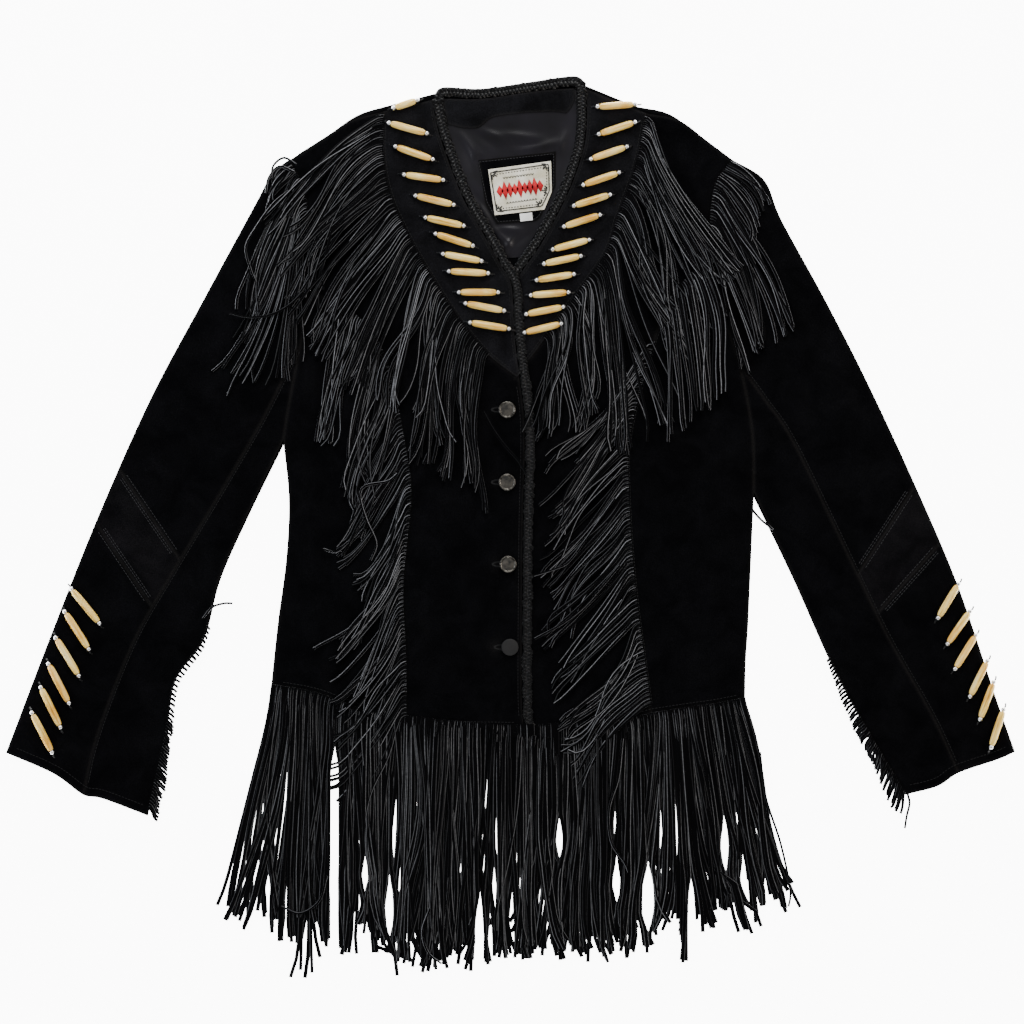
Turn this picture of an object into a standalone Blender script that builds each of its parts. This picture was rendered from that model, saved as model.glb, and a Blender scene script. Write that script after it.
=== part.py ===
"""Fringe jacket laid flat, front up: suede panels, bead-trimmed yokes, laced edges and cut fringe.

All sizes and places are in millimetres, with +X to the wearer's left, +Y to the neck and the floor at z = 0.
Each seam is one smooth curve, and the panels on both sides of it use the same samples of that curve.
"""

import math

import bmesh
import bpy
import numpy as np
from mathutils import Matrix, Vector

MM = 0.001
# The seam tables are drawn about the buttons; the part's origin is the middle of its box
CENTRE = Vector((0.5, 2.2, 0))

# Cloth, from the floor up
BACK_TOP = 2.0
FRONT_LOWEST = 2.35
PUFF = 3.2
PUFF_REACH = 45.0
# Round the neck's V, down to this height, the puff is this share of itself
NECK_TOP = 285.0
V_SHARE = 0.39
V_REACH = 35.0
WALL = 1.8
YOKE_WALL = 2.4
SEAM_GAP = 0.17

# Where the right front laps over the left: the level there, and how far across and how high the lap reaches,
# each with the length of its slope
LAP_UNDER = 2.6
LAP_OVER = 5.4
LAP_RIGHT = ((-65, 40), (340, 50))
LAP_LEFT = ((70, 40), (330, 60))

# Neck opening: satin, facing, patch and label on each other
LINING = (2.3, 3.3)
FACING = (3.6, 4.9)
PATCH = (3.6, 4.8)
LABEL = (5.1, 6.1)
LINING_TIP = 292.0
# Shares of the V line that the satin and the facing follow
LINING_SHARES = (0.02, 0.68)
FACING_SHARES = {"right": (0.01, 0.09), "left": (0.03, 0.09)}

BRAID_HALF = 5.5
BRAID_EDGE = 5.65
BRAID_WALL = 1.6
BRAID_CROWN = 0.9
BRAID_LOW = 3.6
BRAID_RISE = (276, 16)
NECK_BRAID_TOP = 4.9
NECK_BRAID_WALL = 3.7

# Fringe, cut from 1.4 mm suede: each comb hangs in a level of its own
STRAND_WALL = 1.4
STRAND = 4.0
HEM_STRAND = 5.0
SLEEVE_STRAND = 3.0
LENGTH_SPREAD = 0.07
STRIP_WIDTH = 3.0
STRIP_GAP = 0.5
RIM_GAP = 0.8
ON_FRONT = 7.65
OVER_FRINGE = 9.35
AT_HEM = 2.3
UNDER_HEM = 0.3
AT_SLEEVE = 1.4
# Height where the front's fringe starts down over the hem, the length of that slope, and its gap there
PAST_HEM = (-195, 60, 0.4)

BEAD_RADIUS = 3.9
BEAD_END = 2.8
BALL_RADIUS = 2.4
BALL_LONG = 4.6
BEAD_SINK = 1.2
BEAD_SIDES = 5

BUTTON_RADIUS = 9.0
BUTTON_SIDES = 14

# Segments along each seam, shared by the pieces that meet there
YOKE_ROWS = 14
EDGE_ROWS = 11
PRINCESS_ROWS = 16
SHOULDER_IN = 3
SHOULDER_OUT = 4
ARMHOLE_TOP = 5
SIDE_ROWS = 10
SLEEVE_COLUMNS = 5
SLEEVE_ROWS = 23
NECK_SEGMENTS = 8

# Seam tables: columns x, y
RIGHT = {
    "shoulder": [(-133, 436), (-168, 426), (-198, 406), (-233, 384)],
    "armhole": [(-233, 384), (-217, 354), (-211, 307), (-212, 249), (-220, 191), (-231, 133), (-238, 91)],
    "side": [(-238, 91), (-232, 28), (-235, -35), (-243, -98), (-250, -166)],
    "hem_side": [(-250, -166), (-205, -174), (-160, -190), (-110, -206)],
    "princess": [
        (-212, 249), (-159, 219), (-130, 174), (-109, 75),
        (-105, 26), (-113, -60), (-110, -140), (-110, -206),
    ],
    "yoke": [(-133, 436), (-134, 395), (-127, 351), (-108, 307), (-82, 261), (-54, 218), (-24, 182), (10, 155)],
    "lacing_v": [
        (-76, 449), (-70, 418), (-58, 382), (-43, 345), (-24, 312),
        (-5, 278), (7, 255), (10, 205), (15, 160),
    ],
    "lacing_edge": [(15, 160), (20, 120), (21, 75), (19, -6), (18, -167), (20, -209)],
    "sleeve_out": [
        (-233, 384), (-250, 371), (-265, 343), (-322, 238),
        (-378, 133), (-434, 7), (-484, -119), (-529, -237),
    ],
    "sleeve_in": [(-238, 91), (-278, 7), (-305, -56), (-322, -119), (-351, -161), (-361, -219), (-380, -303)],
    "sleeve_seam": [(-220, 191), (-260, 112), (-302, 39), (-352, -45), (-395, -121), (-432, -216), (-448, -281)],
    "cuff": [(-529, -237), (-479, -259), (-448, -281), (-428, -285), (-380, -303)],
    "hem_centre": [(-110, -206), (-45, -209), (14, -210)],
    # Segments of the armhole between the princess seam, the sleeve seam and the armpit
    "armhole_below": (2, 4),
    # Shares of the sleeve's outer line and of its seam where the elbow band starts and ends
    "band_outer": (0.535, 0.625),
    "band_seam": (0.49, 0.60),
}
LEFT = {
    "shoulder": [(143, 434), (177, 427), (206, 406), (234, 385)],
    "armhole": [(234, 385), (216, 358), (210, 307), (213, 280), (223, 228), (241, 170), (254, 102), (256, 36)],
    "side": [(256, 36), (253, -35), (250, -98), (247, -140), (246, -180)],
    "hem_side": [(246, -180), (215, -186), (180, -191), (148, -196)],
    "princess": [
        (213, 280), (189, 264), (163, 228), (142, 165),
        (126, 102), (123, 49), (130, -60), (148, -196),
    ],
    "yoke": [(143, 434), (137, 399), (128, 365), (114, 327), (99, 284), (53, 221), (15, 170), (-17, 148)],
    "lacing_v": [
        (75, 459), (75, 427), (72, 399), (59, 360), (43, 327),
        (26, 297), (9, 273), (-12, 240), (-22, 190), (-23, 150),
    ],
    "lacing_edge": [(-23, 150), (-23, 75), (-23, -100), (-23, -213)],
    "sleeve_out": [
        (234, 385), (267, 364), (285, 322), (331, 238), (374, 154),
        (423, 49), (470, -61), (511, -182), (530, -236),
    ],
    "sleeve_in": [(256, 36), (299, -56), (338, -145), (377, -218), (415, -281)],
    "sleeve_seam": [(241, 170), (268, 133), (299, 86), (365, -51), (398, -118), (443, -198), (471, -258)],
    "cuff": [(530, -236), (512, -244), (471, -258), (449, -272), (415, -281)],
    "hem_centre": [(148, -196), (95, -211), (51, -222), (-17, -213)],
    "armhole_below": (3, 3),
    "band_outer": (0.57, 0.665),
    "band_seam": (0.52, 0.615),
}
SIDES = {"right": RIGHT, "left": LEFT}

NECK_LACING = [(-69, 455), (-29, 455), (28, 463), (67, 466)]
FACING_LOWER = [(-58, 420), (-34, 419), (-15, 431), (39, 436), (62, 434)]
BACK_HEM = [(-250, -166), (-190, -186), (0, -208), (190, -192), (246, -180)]
PATCH_CORNERS = [(-33, 385), (48, 394), (48, 358), (32, 325), (27, 321), (-14, 318), (-26, 340)]
LABEL_CORNERS = [(-23, 375), (43, 384), (44, 352), (36, 333), (-16, 327)]
TAB_CORNERS = [(10, 328.5), (23, 330), (24, 322), (11, 320.5)]

# Soft troughs in the cloth: columns x, y, turn, length, width, depth
FOLDS = [
    (-205, 71, -56, 95, 11, 2.2),
    (-190, -60, -80, 120, 16, 1.6),
    (-60, -110, -85, 110, 18, 1.0),
    (250, 134, -90, 75, 10, 2.0),
    (196, 40, -115, 110, 14, 1.8),
    (75, -60, -95, 120, 18, 1.2),
    (200, -110, -75, 110, 14, 1.5),
    (-262, 140, -118, 150, 13, 2.4),
    (-330, 60, -125, 160, 14, 2.0),
    (-385, -40, -160, 70, 11, 1.8),
    (-420, -160, -110, 150, 14, 1.5),
    (270, 145, -56, 125, 12, 2.5),
    (340, 70, -58, 170, 14, 2.0),
    (395, -40, -30, 70, 11, 1.8),
    (445, -150, -68, 150, 14, 1.5),
]

# Beads with a silver ball at each end: columns inner x, inner y, outer x, outer y
YOKE_BEADS = {
    "right": [
        (-86, 443, -116, 433), (-89, 413, -125, 423), (-83, 386, -118, 398), (-72, 364, -109, 369),
        (-60, 338, -98, 347), (-50, 316, -87, 324), (-40, 295, -77, 307), (-31, 279, -69, 286),
        (-24, 266, -63, 268), (-14, 246, -52, 246), (-8, 227, -45, 234), (-3, 208, -40, 214),
    ],
    "left": [
        (97, 444, 127, 446), (94, 412, 130, 424), (86, 386, 121, 398), (78, 359, 113, 371),
        (68, 337, 104, 348), (57, 315, 94, 327), (45, 291, 83, 301), (36, 276, 74, 284),
        (28, 259, 67, 265), (21, 243, 62, 246), (21, 224, 52, 230), (20, 205, 49, 212),
    ],
}
SLEEVE_BEADS = {
    "right": [
        (-461, -65, -432, -99), (-466, -90, -442, -127), (-475, -118, -453, -154),
        (-483, -145, -463, -183), (-491, -170, -472, -208), (-501, -195, -480, -236),
    ],
    "left": [
        (449, -95, 470, -60), (459, -122, 482, -89), (467, -148, 488, -114),
        (483, -176, 500, -142), (494, -198, 506, -166), (505, -229, 517, -193),
    ],
}
BUTTONS = [(-3, 123), (-3, 47), (-2, -39), (0, -126)]

# Fringe: columns start, end, strands, length at start and end, heading at the root at start and end,
# heading at the tip at start and end. Headings are degrees from straight down, to the wearer's left.
YOKE_FRINGE = {
    "right": [(0.02, 0.30, 9, 152, 172, -66, -46, -52, -38), (0.335, 0.86, 16, 160, 165, -50, -8, -36, 2)],
    "left": [
        (0.02, 0.28, 8, 188, 178, 42, 30, 25, 24),
        (0.315, 0.53, 7, 200, 210, 34, 20, 24, 10),
        (0.57, 0.70, 4, 148, 128, 14, 8, 3, 1),
    ],
}
PRINCESS_FRINGE = {
    "right": [(0.06, 0.20, 6, 150, 160, -14, -18, -5, -9), (0.27, 0.97, 17, 140, 112, -20, -42, -12, -24)],
    "left": [(0.26, 0.97, 17, 120, 105, -46, -52, -36, -34)],
}
PRINCESS_TOP_FRINGE = [(0.03, 0.15, 5, 130, 145, 26, 12, 9, 4)]
ARMHOLE_FRINGE = {
    "right": [(0.03, 0.22, 6, 172, 152, -42, -24, -8, 2)],
    "left": [(0.03, 0.08, 2, 84, 92, 70, 60, 28, 22), (0.12, 0.33, 6, 178, 128, 44, 24, 24, 12)],
}
SLEEVE_FRINGE = {
    "right": [(0.50, 0.95, 9, 20, 26, 50, 42, 30, 20)],
    "left": [(0.46, 0.97, 9, 22, 30, -50, -42, -28, -12)],
}
HEM_FRINGE = {
    "right": {
        "side": [(0.03, 0.45, 6, 218, 236, -6, -2, -8, -1), (0.53, 0.97, 6, 226, 230, 0, 0, 1, -1)],
        "centre": [(0.03, 0.60, 8, 228, 238, -1, 0, 1, 0)],
    },
    "left": {
        "side": [(0.04, 0.96, 9, 210, 220, 9, 3, 15, 4)],
        "centre": [(0.03, 0.40, 7, 208, 208, 2, 1, 3, -1), (0.47, 0.97, 9, 220, 236, 0, 0, 1, 1)],
    },
}
BACK_FRINGE = [(0.02, 0.98, 22, 205, 198, -5, 7, -7, 13)]
# Princess fringe lies on the wearer's right of its seam, but for the left seam's top bunch
PRINCESS_SIDE = -1

SUEDE = (0.006, 0.006, 0.008, 1.0)
SUEDE_WORN = (0.012, 0.011, 0.013, 1.0)
STRAND_GREY = (0.016, 0.016, 0.018, 1.0)
LACING_BLACK = (0.004, 0.004, 0.004, 1.0)
SATIN = (0.020, 0.016, 0.026, 1.0)
CREAM = (0.66, 0.62, 0.52, 1.0)
PEWTER = (0.10, 0.10, 0.10, 1.0)


def smooth(knots):
    """Points every few millimetres on a Catmull-Rom curve through the knots."""
    knots = np.array(knots, float)
    ends = np.vstack([2 * knots[0] - knots[1], knots, 2 * knots[-1] - knots[-2]])
    t = np.linspace(0, 1, 24, endpoint=False)[:, None]
    pieces = []
    for a, b, c, d in zip(ends, ends[1:], ends[2:], ends[3:]):
        pieces.append(b + 0.5 * t * (c - a + t * (2 * a - 5 * b + 4 * c - d + t * (3 * (b - c) + d - a))))
    return np.vstack(pieces + [knots[-1:]])


def at(line, shares):
    """Points at these shares of a line's length."""
    run = np.concatenate([[0], np.cumsum(np.hypot(*np.diff(line, axis=0).T))])
    where = np.asarray(shares) * run[-1]
    return np.stack([np.interp(where, run, line[:, i]) for i in (0, 1)], axis=-1)


def samples(knots, segments, start=0.0, end=1.0):
    return at(smooth(knots), np.linspace(start, end, segments + 1))


def share_of(line, point):
    """The share of a line's length at its point nearest to this one."""
    run = np.concatenate([[0], np.cumsum(np.hypot(*np.diff(line, axis=0).T))])
    return run[np.argmin(np.hypot(*(line - point).T))] / run[-1]


def offset(line, distance):
    """The line moved sideways, to the left of its own direction where the distance is positive."""
    steps = np.diff(line, axis=0)
    steps /= np.hypot(*steps.T)[:, None]
    before, after = np.vstack([steps[:1], steps]), np.vstack([steps, steps[-1:]])
    mid = before + after
    mid /= np.hypot(*mid.T)[:, None]
    stretch = 1 / np.maximum((mid * after).sum(axis=1), 0.5)
    return line + distance * stretch[:, None] * np.stack([-mid[:, 1], mid[:, 0]], axis=1)


def join(*lines):
    """Lines end to end, each shared point once."""
    return np.vstack([lines[0]] + [line[1:] for line in lines[1:]])


def distance_to(points, line):
    """Each point's distance to a line of straight segments."""
    a, b = line[:-1], line[1:]
    along = b - a
    run = np.maximum((along**2).sum(axis=1), 1e-9)
    rel = points[:, None, :] - a[None]
    t = np.clip((rel * along).sum(axis=2) / run, 0, 1)
    return np.sqrt(((rel - t[..., None] * along) ** 2).sum(axis=2)).min(axis=1)


def ease(value):
    value = np.clip(value, 0, 1)
    return value * value * (3 - 2 * value)


class Side:
    """The shared seam samples of one side of the jacket."""

    def __init__(self, name):
        table = SIDES[name]
        self.name = name
        self.table = table
        self.out = 1 if name == "left" else -1
        self.lacing = join(samples(table["lacing_v"], YOKE_ROWS), samples(table["lacing_edge"], EDGE_ROWS))
        self.edge = offset(self.lacing, self.out * BRAID_EDGE)
        yoke = samples(table["yoke"], YOKE_ROWS)
        yoke[-1] = self.edge[YOKE_ROWS]
        self.yoke = yoke
        self.shoulder_in = np.linspace(self.edge[0], yoke[0], SHOULDER_IN + 1)
        self.shoulder_out = samples(table["shoulder"], SHOULDER_OUT)
        arm = smooth(table["armhole"])
        princess, seam = share_of(arm, table["princess"][0]), share_of(arm, table["sleeve_seam"][0])
        front, under = table["armhole_below"]
        self.arm_top = at(arm, np.linspace(0, princess, ARMHOLE_TOP + 1))
        self.arm_middle = at(arm, np.linspace(princess, seam, front + 1))
        self.arm_low = at(arm, np.linspace(seam, 1, under + 1))
        self.armhole = join(self.arm_top, self.arm_middle, self.arm_low)
        self.princess = samples(table["princess"], PRINCESS_ROWS)
        self.princess[0] = self.arm_top[-1]
        self.side = samples(table["side"], SIDE_ROWS)
        self.hem_side = samples(table["hem_side"], SLEEVE_COLUMNS)
        self.hem_centre = samples(table["hem_centre"], SLEEVE_COLUMNS)
        self.hem_centre[-1] = self.edge[-1]
        self.cuff_split = share_of(smooth(table["cuff"]), table["sleeve_seam"][-1])


right, left = Side("right"), Side("left")


def outline():
    """The cloth's outer edge, round both sleeves, without the fringe."""
    half = {}
    for side in (right, left):
        table = side.table
        inner = samples(table["sleeve_in"], 30)[::-1]
        sleeve = join(samples(table["sleeve_out"], 40), samples(table["cuff"], 8), inner)
        shoulder = join(side.shoulder_in, side.shoulder_out)
        half[side.name] = join(shoulder, sleeve, side.side, side.hem_side, side.hem_centre)
    return np.vstack([half["right"], half["left"][::-1]])


OUTLINE = outline()


def heights(points, side):
    """Height of the cloth's lower face: a low puff closed at the outline, troughs, and the lapped fronts."""
    x, y = points.T
    v_line = side.lacing[side.lacing[:, 1] > NECK_TOP]
    v_share = V_SHARE + (1 - V_SHARE) * ease(distance_to(points, v_line) / V_REACH)
    z = PUFF * ease(distance_to(points, OUTLINE) / PUFF_REACH) * v_share
    for fx, fy, turn, length, width, depth in FOLDS:
        along = (math.cos(math.radians(turn)), math.sin(math.radians(turn)))
        run = (x - fx) * along[0] + (y - fy) * along[1]
        across = (x - fx) * along[1] - (y - fy) * along[0]
        z = z - depth * np.exp(-((across / width) ** 2)) * (1 - ease(np.abs(run) / (0.5 * length)))
    z = FRONT_LOWEST + np.maximum(z, 0)
    (reach, across), (top, down) = LAP_RIGHT if side.name == "right" else LAP_LEFT
    lap = ease(side.out * (reach - x) / across) * ease((top - y) / down)
    if side.name == "right":
        return z + lap * np.maximum(LAP_OVER - z, 0)
    return z + lap * (LAP_UNDER - z)


def finish(name, colour=SUEDE, roughness=0.95, metallic=0.0):
    """The piece's own plain material."""
    material = bpy.data.materials.new(name)
    material.use_nodes = True
    shader = material.node_tree.nodes["Principled BSDF"]
    shader.inputs["Base Color"].default_value = colour
    shader.inputs["Roughness"].default_value = roughness
    shader.inputs["Metallic"].default_value = metallic
    return material


def step_in(bm, gap):
    """Each rim point moved inward by the seam gap, square to its two rim edges."""
    moves = []
    for vert in bm.verts:
        rim = [edge for edge in vert.link_edges if edge.is_boundary]
        if len(rim) != 2:
            continue
        inward = Vector()
        for edge in rim:
            run = (edge.verts[1].co - edge.verts[0].co).normalized()
            square = Vector((-run.y, run.x, 0))
            if square.dot(edge.link_faces[0].calc_center_median() - edge.verts[0].co) < 0:
                square.negate()
            inward += square
        moves.append((vert, inward.normalized() * gap / max(inward.length / 2, 0.3)))
    for vert, move in moves:
        vert.co += move


def piece(name, points, faces, top, wall, material, gap=SEAM_GAP):
    """A wall: flat faces stepped in at the rim, lifted to their height, then thickened straight down.

    top gives the upper face's height from an array of x, y; wall is the thickness.
    """
    bm = bmesh.new()
    verts = [bm.verts.new((x, y, 0)) for x, y in points]
    for face in faces:
        bm.faces.new([verts[i] for i in face])
    bmesh.ops.remove_doubles(bm, verts=bm.verts, dist=0.02)
    bmesh.ops.dissolve_degenerate(bm, edges=bm.edges, dist=0.001)
    step_in(bm, gap)
    place = np.array([vert.co[:2] for vert in bm.verts])
    for vert, z in zip(bm.verts, top(place)):
        vert.co.z = z
    lower = bmesh.ops.extrude_face_region(bm, geom=bm.faces[:])["geom"]
    moved = [item for item in lower if isinstance(item, bmesh.types.BMVert)]
    bmesh.ops.translate(bm, verts=moved, vec=(0, 0, -wall))
    bmesh.ops.recalc_face_normals(bm, faces=bm.faces)
    bmesh.ops.translate(bm, verts=bm.verts, vec=-CENTRE)
    bmesh.ops.scale(bm, verts=bm.verts, vec=(MM, MM, MM))
    mesh = bpy.data.meshes.new(name)
    bm.to_mesh(mesh)
    bm.free()
    mesh.materials.append(material)
    obj = bpy.data.objects.new(name, mesh)
    jacket.objects.link(obj)
    return obj


def grid_faces(rows, columns):
    return [
        (r * columns + c, r * columns + c + 1, (r + 1) * columns + c + 1, (r + 1) * columns + c)
        for r in range(rows - 1)
        for c in range(columns - 1)
    ]


def coons(start, end, top, bottom):
    """Points between two side lines, bent to the top and bottom lines, which may be None for straight ones."""
    rows, columns = len(start), len(top if top is not None else bottom)
    u = np.linspace(0, 1, columns)[None, :, None]
    v = np.linspace(0, 1, rows)[:, None, None]
    points = (1 - u) * start[:, None] + u * end[:, None]
    for line, row, share in ((top, 0, 1 - v), (bottom, -1, v)):
        if line is not None:
            straight = (1 - u[0]) * start[row] + u[0] * end[row]
            points = points + share**2 * (line - straight)[None]
    return points


def panel(name, start, end, top, bottom, side, wall=WALL, colour=SUEDE):
    points = coons(start, end, top, bottom)
    rows, columns = points.shape[:2]

    def upper(place):
        return heights(place, side) + wall

    return piece(name, points.reshape(-1, 2), grid_faces(rows, columns), upper, wall, finish(name, colour))


def flat(name, outline_points, low, high, colour=SUEDE, roughness=0.95, gap=SEAM_GAP):
    """A flat piece of this outline between two heights."""
    count = len(outline_points)

    def upper(place):
        return np.full(len(place), high)

    return piece(name, outline_points, [range(count)], upper, high - low, finish(name, colour, roughness), gap)


def body_panels(side):
    """Yoke, centre front and side front, which meet at the yoke seam and the princess seam."""
    outer = join(side.shoulder_out, side.arm_top, side.princess)
    inner = join(side.yoke, side.edge[YOKE_ROWS:])
    panel(f"front_{side.name}_centre", outer, inner, None, side.hem_centre, side)
    outer = join(side.arm_middle, side.arm_low, side.side)
    panel(f"front_{side.name}_side", outer, side.princess, None, side.hem_side, side)
    edge = side.edge[: YOKE_ROWS + 1]
    tip = np.repeat(side.yoke[-1:], SHOULDER_IN + 1, axis=0)
    return panel(f"yoke_{side.name}", edge, side.yoke, side.shoulder_in, tip, side, YOKE_WALL)


def sleeve_panels(side):
    """Upper arm, elbow band and forearm outside the sleeve seam, and the narrow panel inside it."""
    name, table = f"sleeve_{side.name}", side.table
    outer, seam = smooth(table["sleeve_out"]), smooth(table["sleeve_seam"])
    cuff, inner = smooth(table["cuff"]), smooth(table["sleeve_in"])
    (out_a, out_b), (seam_a, seam_b) = table["band_outer"], table["band_seam"]
    rows = {"upper": (0, 1, SLEEVE_ROWS - 12), "band": (1, 2, 3), "forearm": (2, 3, 9)}
    outs, seams = (0, out_a, out_b, 1), (0, seam_a, seam_b, 1)
    head = join(side.arm_top, side.arm_middle)
    cuff_outer = at(cuff, np.linspace(0, side.cuff_split, len(head)))
    made, seam_line = {}, []
    for part, (a, b, count) in rows.items():
        start = at(outer, np.linspace(outs[a], outs[b], count + 1))
        end = at(seam, np.linspace(seams[a], seams[b], count + 1))
        top = head if part == "upper" else np.linspace(start[0], end[0], len(head))
        bottom = cuff_outer if part == "forearm" else None
        colour = SUEDE_WORN if part == "band" else SUEDE
        made[part] = panel(f"{name}_{part}", start, end, top, bottom, side, WALL, colour)
        seam_line.append(end)
    seam_line = join(*seam_line)
    seam_line[-1] = cuff_outer[-1]
    end = at(inner, np.linspace(0, 1, SLEEVE_ROWS + 1))
    bottom = at(cuff, np.linspace(side.cuff_split, 1, len(side.arm_low)))
    panel(f"{name}_inner", seam_line, end, side.arm_low, bottom, side)
    outside = join(side.armhole[::-1], samples(table["sleeve_out"], 16), samples(table["cuff"], 6))
    under = join(outside, samples(table["sleeve_in"], SLEEVE_ROWS)[::-1])[:-1]
    flat(f"{name}_under", under, 0, BACK_TOP)
    return made["forearm"]


def back_panel():
    """The whole back, flat on the floor, from the neck lacing to the hem."""
    neck = offset(samples(NECK_LACING, NECK_SEGMENTS), -BRAID_EDGE)
    halves = []
    for side in (right, left):
        halves.append(join(side.shoulder_in, side.shoulder_out, side.armhole, side.side))
    hem = samples(BACK_HEM, 16)
    around = np.vstack([halves[0], hem[1:-1], halves[1][::-1], neck[::-1]])
    flat("back", around, 0, BACK_TOP)


def lacing(name, line, level, wall=BRAID_WALL):
    """A braided edge: a crowned strip along its centre line."""
    across = (-BRAID_HALF, -0.5 * BRAID_HALF, 0.5 * BRAID_HALF, BRAID_HALF)
    points = np.stack([offset(line, shift) for shift in across], axis=1).reshape(-1, 2)
    rise = np.tile([0, BRAID_CROWN, BRAID_CROWN, 0], len(line))

    def upper(place):
        return level(place) + wall + rise

    return piece(name, points, grid_faces(len(line), 4), upper, wall, finish(name, LACING_BLACK, 0.35), 0)


def lacing_level(side):
    """The braid's underside: the cloth's own height, raised over the satin in the neck opening."""

    def level(place):
        z = heights(place, side)
        clear = np.maximum(z, BRAID_LOW)
        start, slope = BRAID_RISE
        return z + (clear - z) * ease((place[:, 1] - start) / slope)

    return level


def neck_pieces():
    """Satin, back neck facing, the patch with its label and size tab, and the neck lacing."""
    v_right, v_left = (smooth(side.table["lacing_v"]) for side in (right, left))
    low_right, low_left = (at(line, np.linspace(*LINING_SHARES, 12)) for line in (v_right, v_left))
    low_right, low_left = (line[line[:, 1] > LINING_TIP] for line in (low_right, low_left))
    top = offset(samples(NECK_LACING, NECK_SEGMENTS), -BRAID_EDGE)
    flat("lining", np.vstack([top[::-1], low_right, low_left[::-1]]), *LINING, SATIN, 0.3)
    inner_right = offset(at(v_right, np.linspace(*FACING_SHARES["right"], 3)), BRAID_EDGE)
    inner_left = offset(at(v_left, np.linspace(*FACING_SHARES["left"], 3)), -BRAID_EDGE)
    facing = np.vstack([top[::-1], inner_right, samples(FACING_LOWER, 8)[1:-1], inner_left[::-1]])
    flat("neck_facing", facing, *FACING)
    flat("label_patch", PATCH_CORNERS, *PATCH, SUEDE_WORN)
    flat("label", LABEL_CORNERS, *LABEL, CREAM, 0.8)
    flat("size_tab", TAB_CORNERS, *LABEL, CREAM, 0.8)

    def level(place):
        return np.full(len(place), NECK_BRAID_TOP - BRAID_CROWN - NECK_BRAID_WALL)

    lacing("lacing_neck", samples(NECK_LACING, NECK_SEGMENTS), level, NECK_BRAID_WALL)


def wobble(index, seed):
    """A repeatable number from -1 to 1."""
    return math.sin(12.9898 * index + 78.233 * seed + 4.1 * math.sin(2.7 * index + seed))


def comb(name, line, side_sign, stretches, level, width, segments, gap=STRIP_GAP):
    """A strip along a seam with strands cut from it, thickened straight down.

    line is the seam, side_sign +1 to lie on the left of its direction. level gives a point's underside from the
    share of the strand that lies above it and its x, y. A strand's heading turns evenly from root to tip.
    """
    run = np.hypot(*np.diff(line, axis=0).T).sum()
    rows = []
    for start, end, count, *values in stretches:
        share = np.linspace(0, 1, count)
        values = [a + (b - a) * share for a, b in zip(values[::2], values[1::2])]
        rows += list(zip(start + (end - start) * share, *values))
    edges = np.array([[row[0] - 0.5 * width / run, row[0] + 0.5 * width / run] for row in rows]).reshape(-1)
    edges = np.clip(edges, 0.001, 0.999)
    upper, ahead = at(line, edges), at(line, edges + 0.0008) - at(line, edges - 0.0008)
    ahead /= np.hypot(*ahead.T)[:, None]
    square = side_sign * np.stack([-ahead[:, 1], ahead[:, 0]], axis=1)
    points = list(upper + gap * square) + list(upper + (gap + STRIP_WIDTH) * square)
    shares = [0.0] * len(points)
    count = len(edges)
    faces = [(i, i + 1, count + i + 1, count + i) for i in range(count - 1)]
    for index, (_, length, root, tip) in enumerate(rows):
        pair = [count + 2 * index, count + 2 * index + 1]
        centre = 0.5 * (np.array(points[pair[0]]) + points[pair[1]])
        length *= 1 + LENGTH_SPREAD * wobble(index, len(name))
        for ring in range(1, segments + 1):
            turn = math.radians(root + (tip - root) * (ring - 0.5) / segments)
            centre = centre + length / segments * np.array([math.sin(turn), -math.cos(turn)])
            turn = math.radians(root + (tip - root) * ring / segments)
            half = -side_sign * 0.5 * width * np.array([math.cos(turn), math.sin(turn)])
            points += [centre - half, centre + half]
            shares += [ring / segments] * 2
            new = [len(points) - 2, len(points) - 1]
            faces.append((pair[0], pair[1], new[1], new[0]))
            pair = new
    points, shares = np.array(points), np.array(shares)

    def top(place):
        return level(shares, place) + STRAND_WALL

    return piece(name, points, faces, top, STRAND_WALL, finish(name, STRAND_GREY), 0)


def rising(shares, place):
    """From the front's own level at the root up to the level over the lower fringe."""
    return ON_FRONT + (OVER_FRINGE - ON_FRONT) * np.minimum(shares * 3, 1)


def on_cloth(shares, place):
    """On the front, then down past its hem onto the hem fringe."""
    start, slope, clear = PAST_HEM
    past = np.clip((start - place[:, 1]) / slope, 0, 1)
    return ON_FRONT - past * (ON_FRONT - AT_HEM - STRAND_WALL - clear)


def at_level(z):
    return lambda shares, place: np.full(len(place), z)


def fringe(side):
    """The combs of one side, each hung from its own seam."""
    name, out = side.name, side.out
    comb(f"fringe_yoke_{name}", side.yoke, out, YOKE_FRINGE[name], rising, STRAND, 3)
    comb(f"fringe_princess_{name}", side.princess, PRINCESS_SIDE, PRINCESS_FRINGE[name], on_cloth, STRAND, 2)
    comb(f"fringe_armhole_{name}", side.armhole, out, ARMHOLE_FRINGE[name], at_level(ON_FRONT), STRAND, 2)
    inner = samples(side.table["sleeve_in"], SLEEVE_ROWS)
    on_sleeve = at_level(AT_SLEEVE)
    comb(f"fringe_sleeve_{name}", inner, -out, SLEEVE_FRINGE[name], on_sleeve, SLEEVE_STRAND, 1, RIM_GAP)
    for part, line in (("side", side.hem_side), ("centre", side.hem_centre)):
        comb(f"fringe_hem_{name}_{part}", line, out, HEM_FRINGE[name][part], at_level(AT_HEM), HEM_STRAND, 3)


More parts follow.
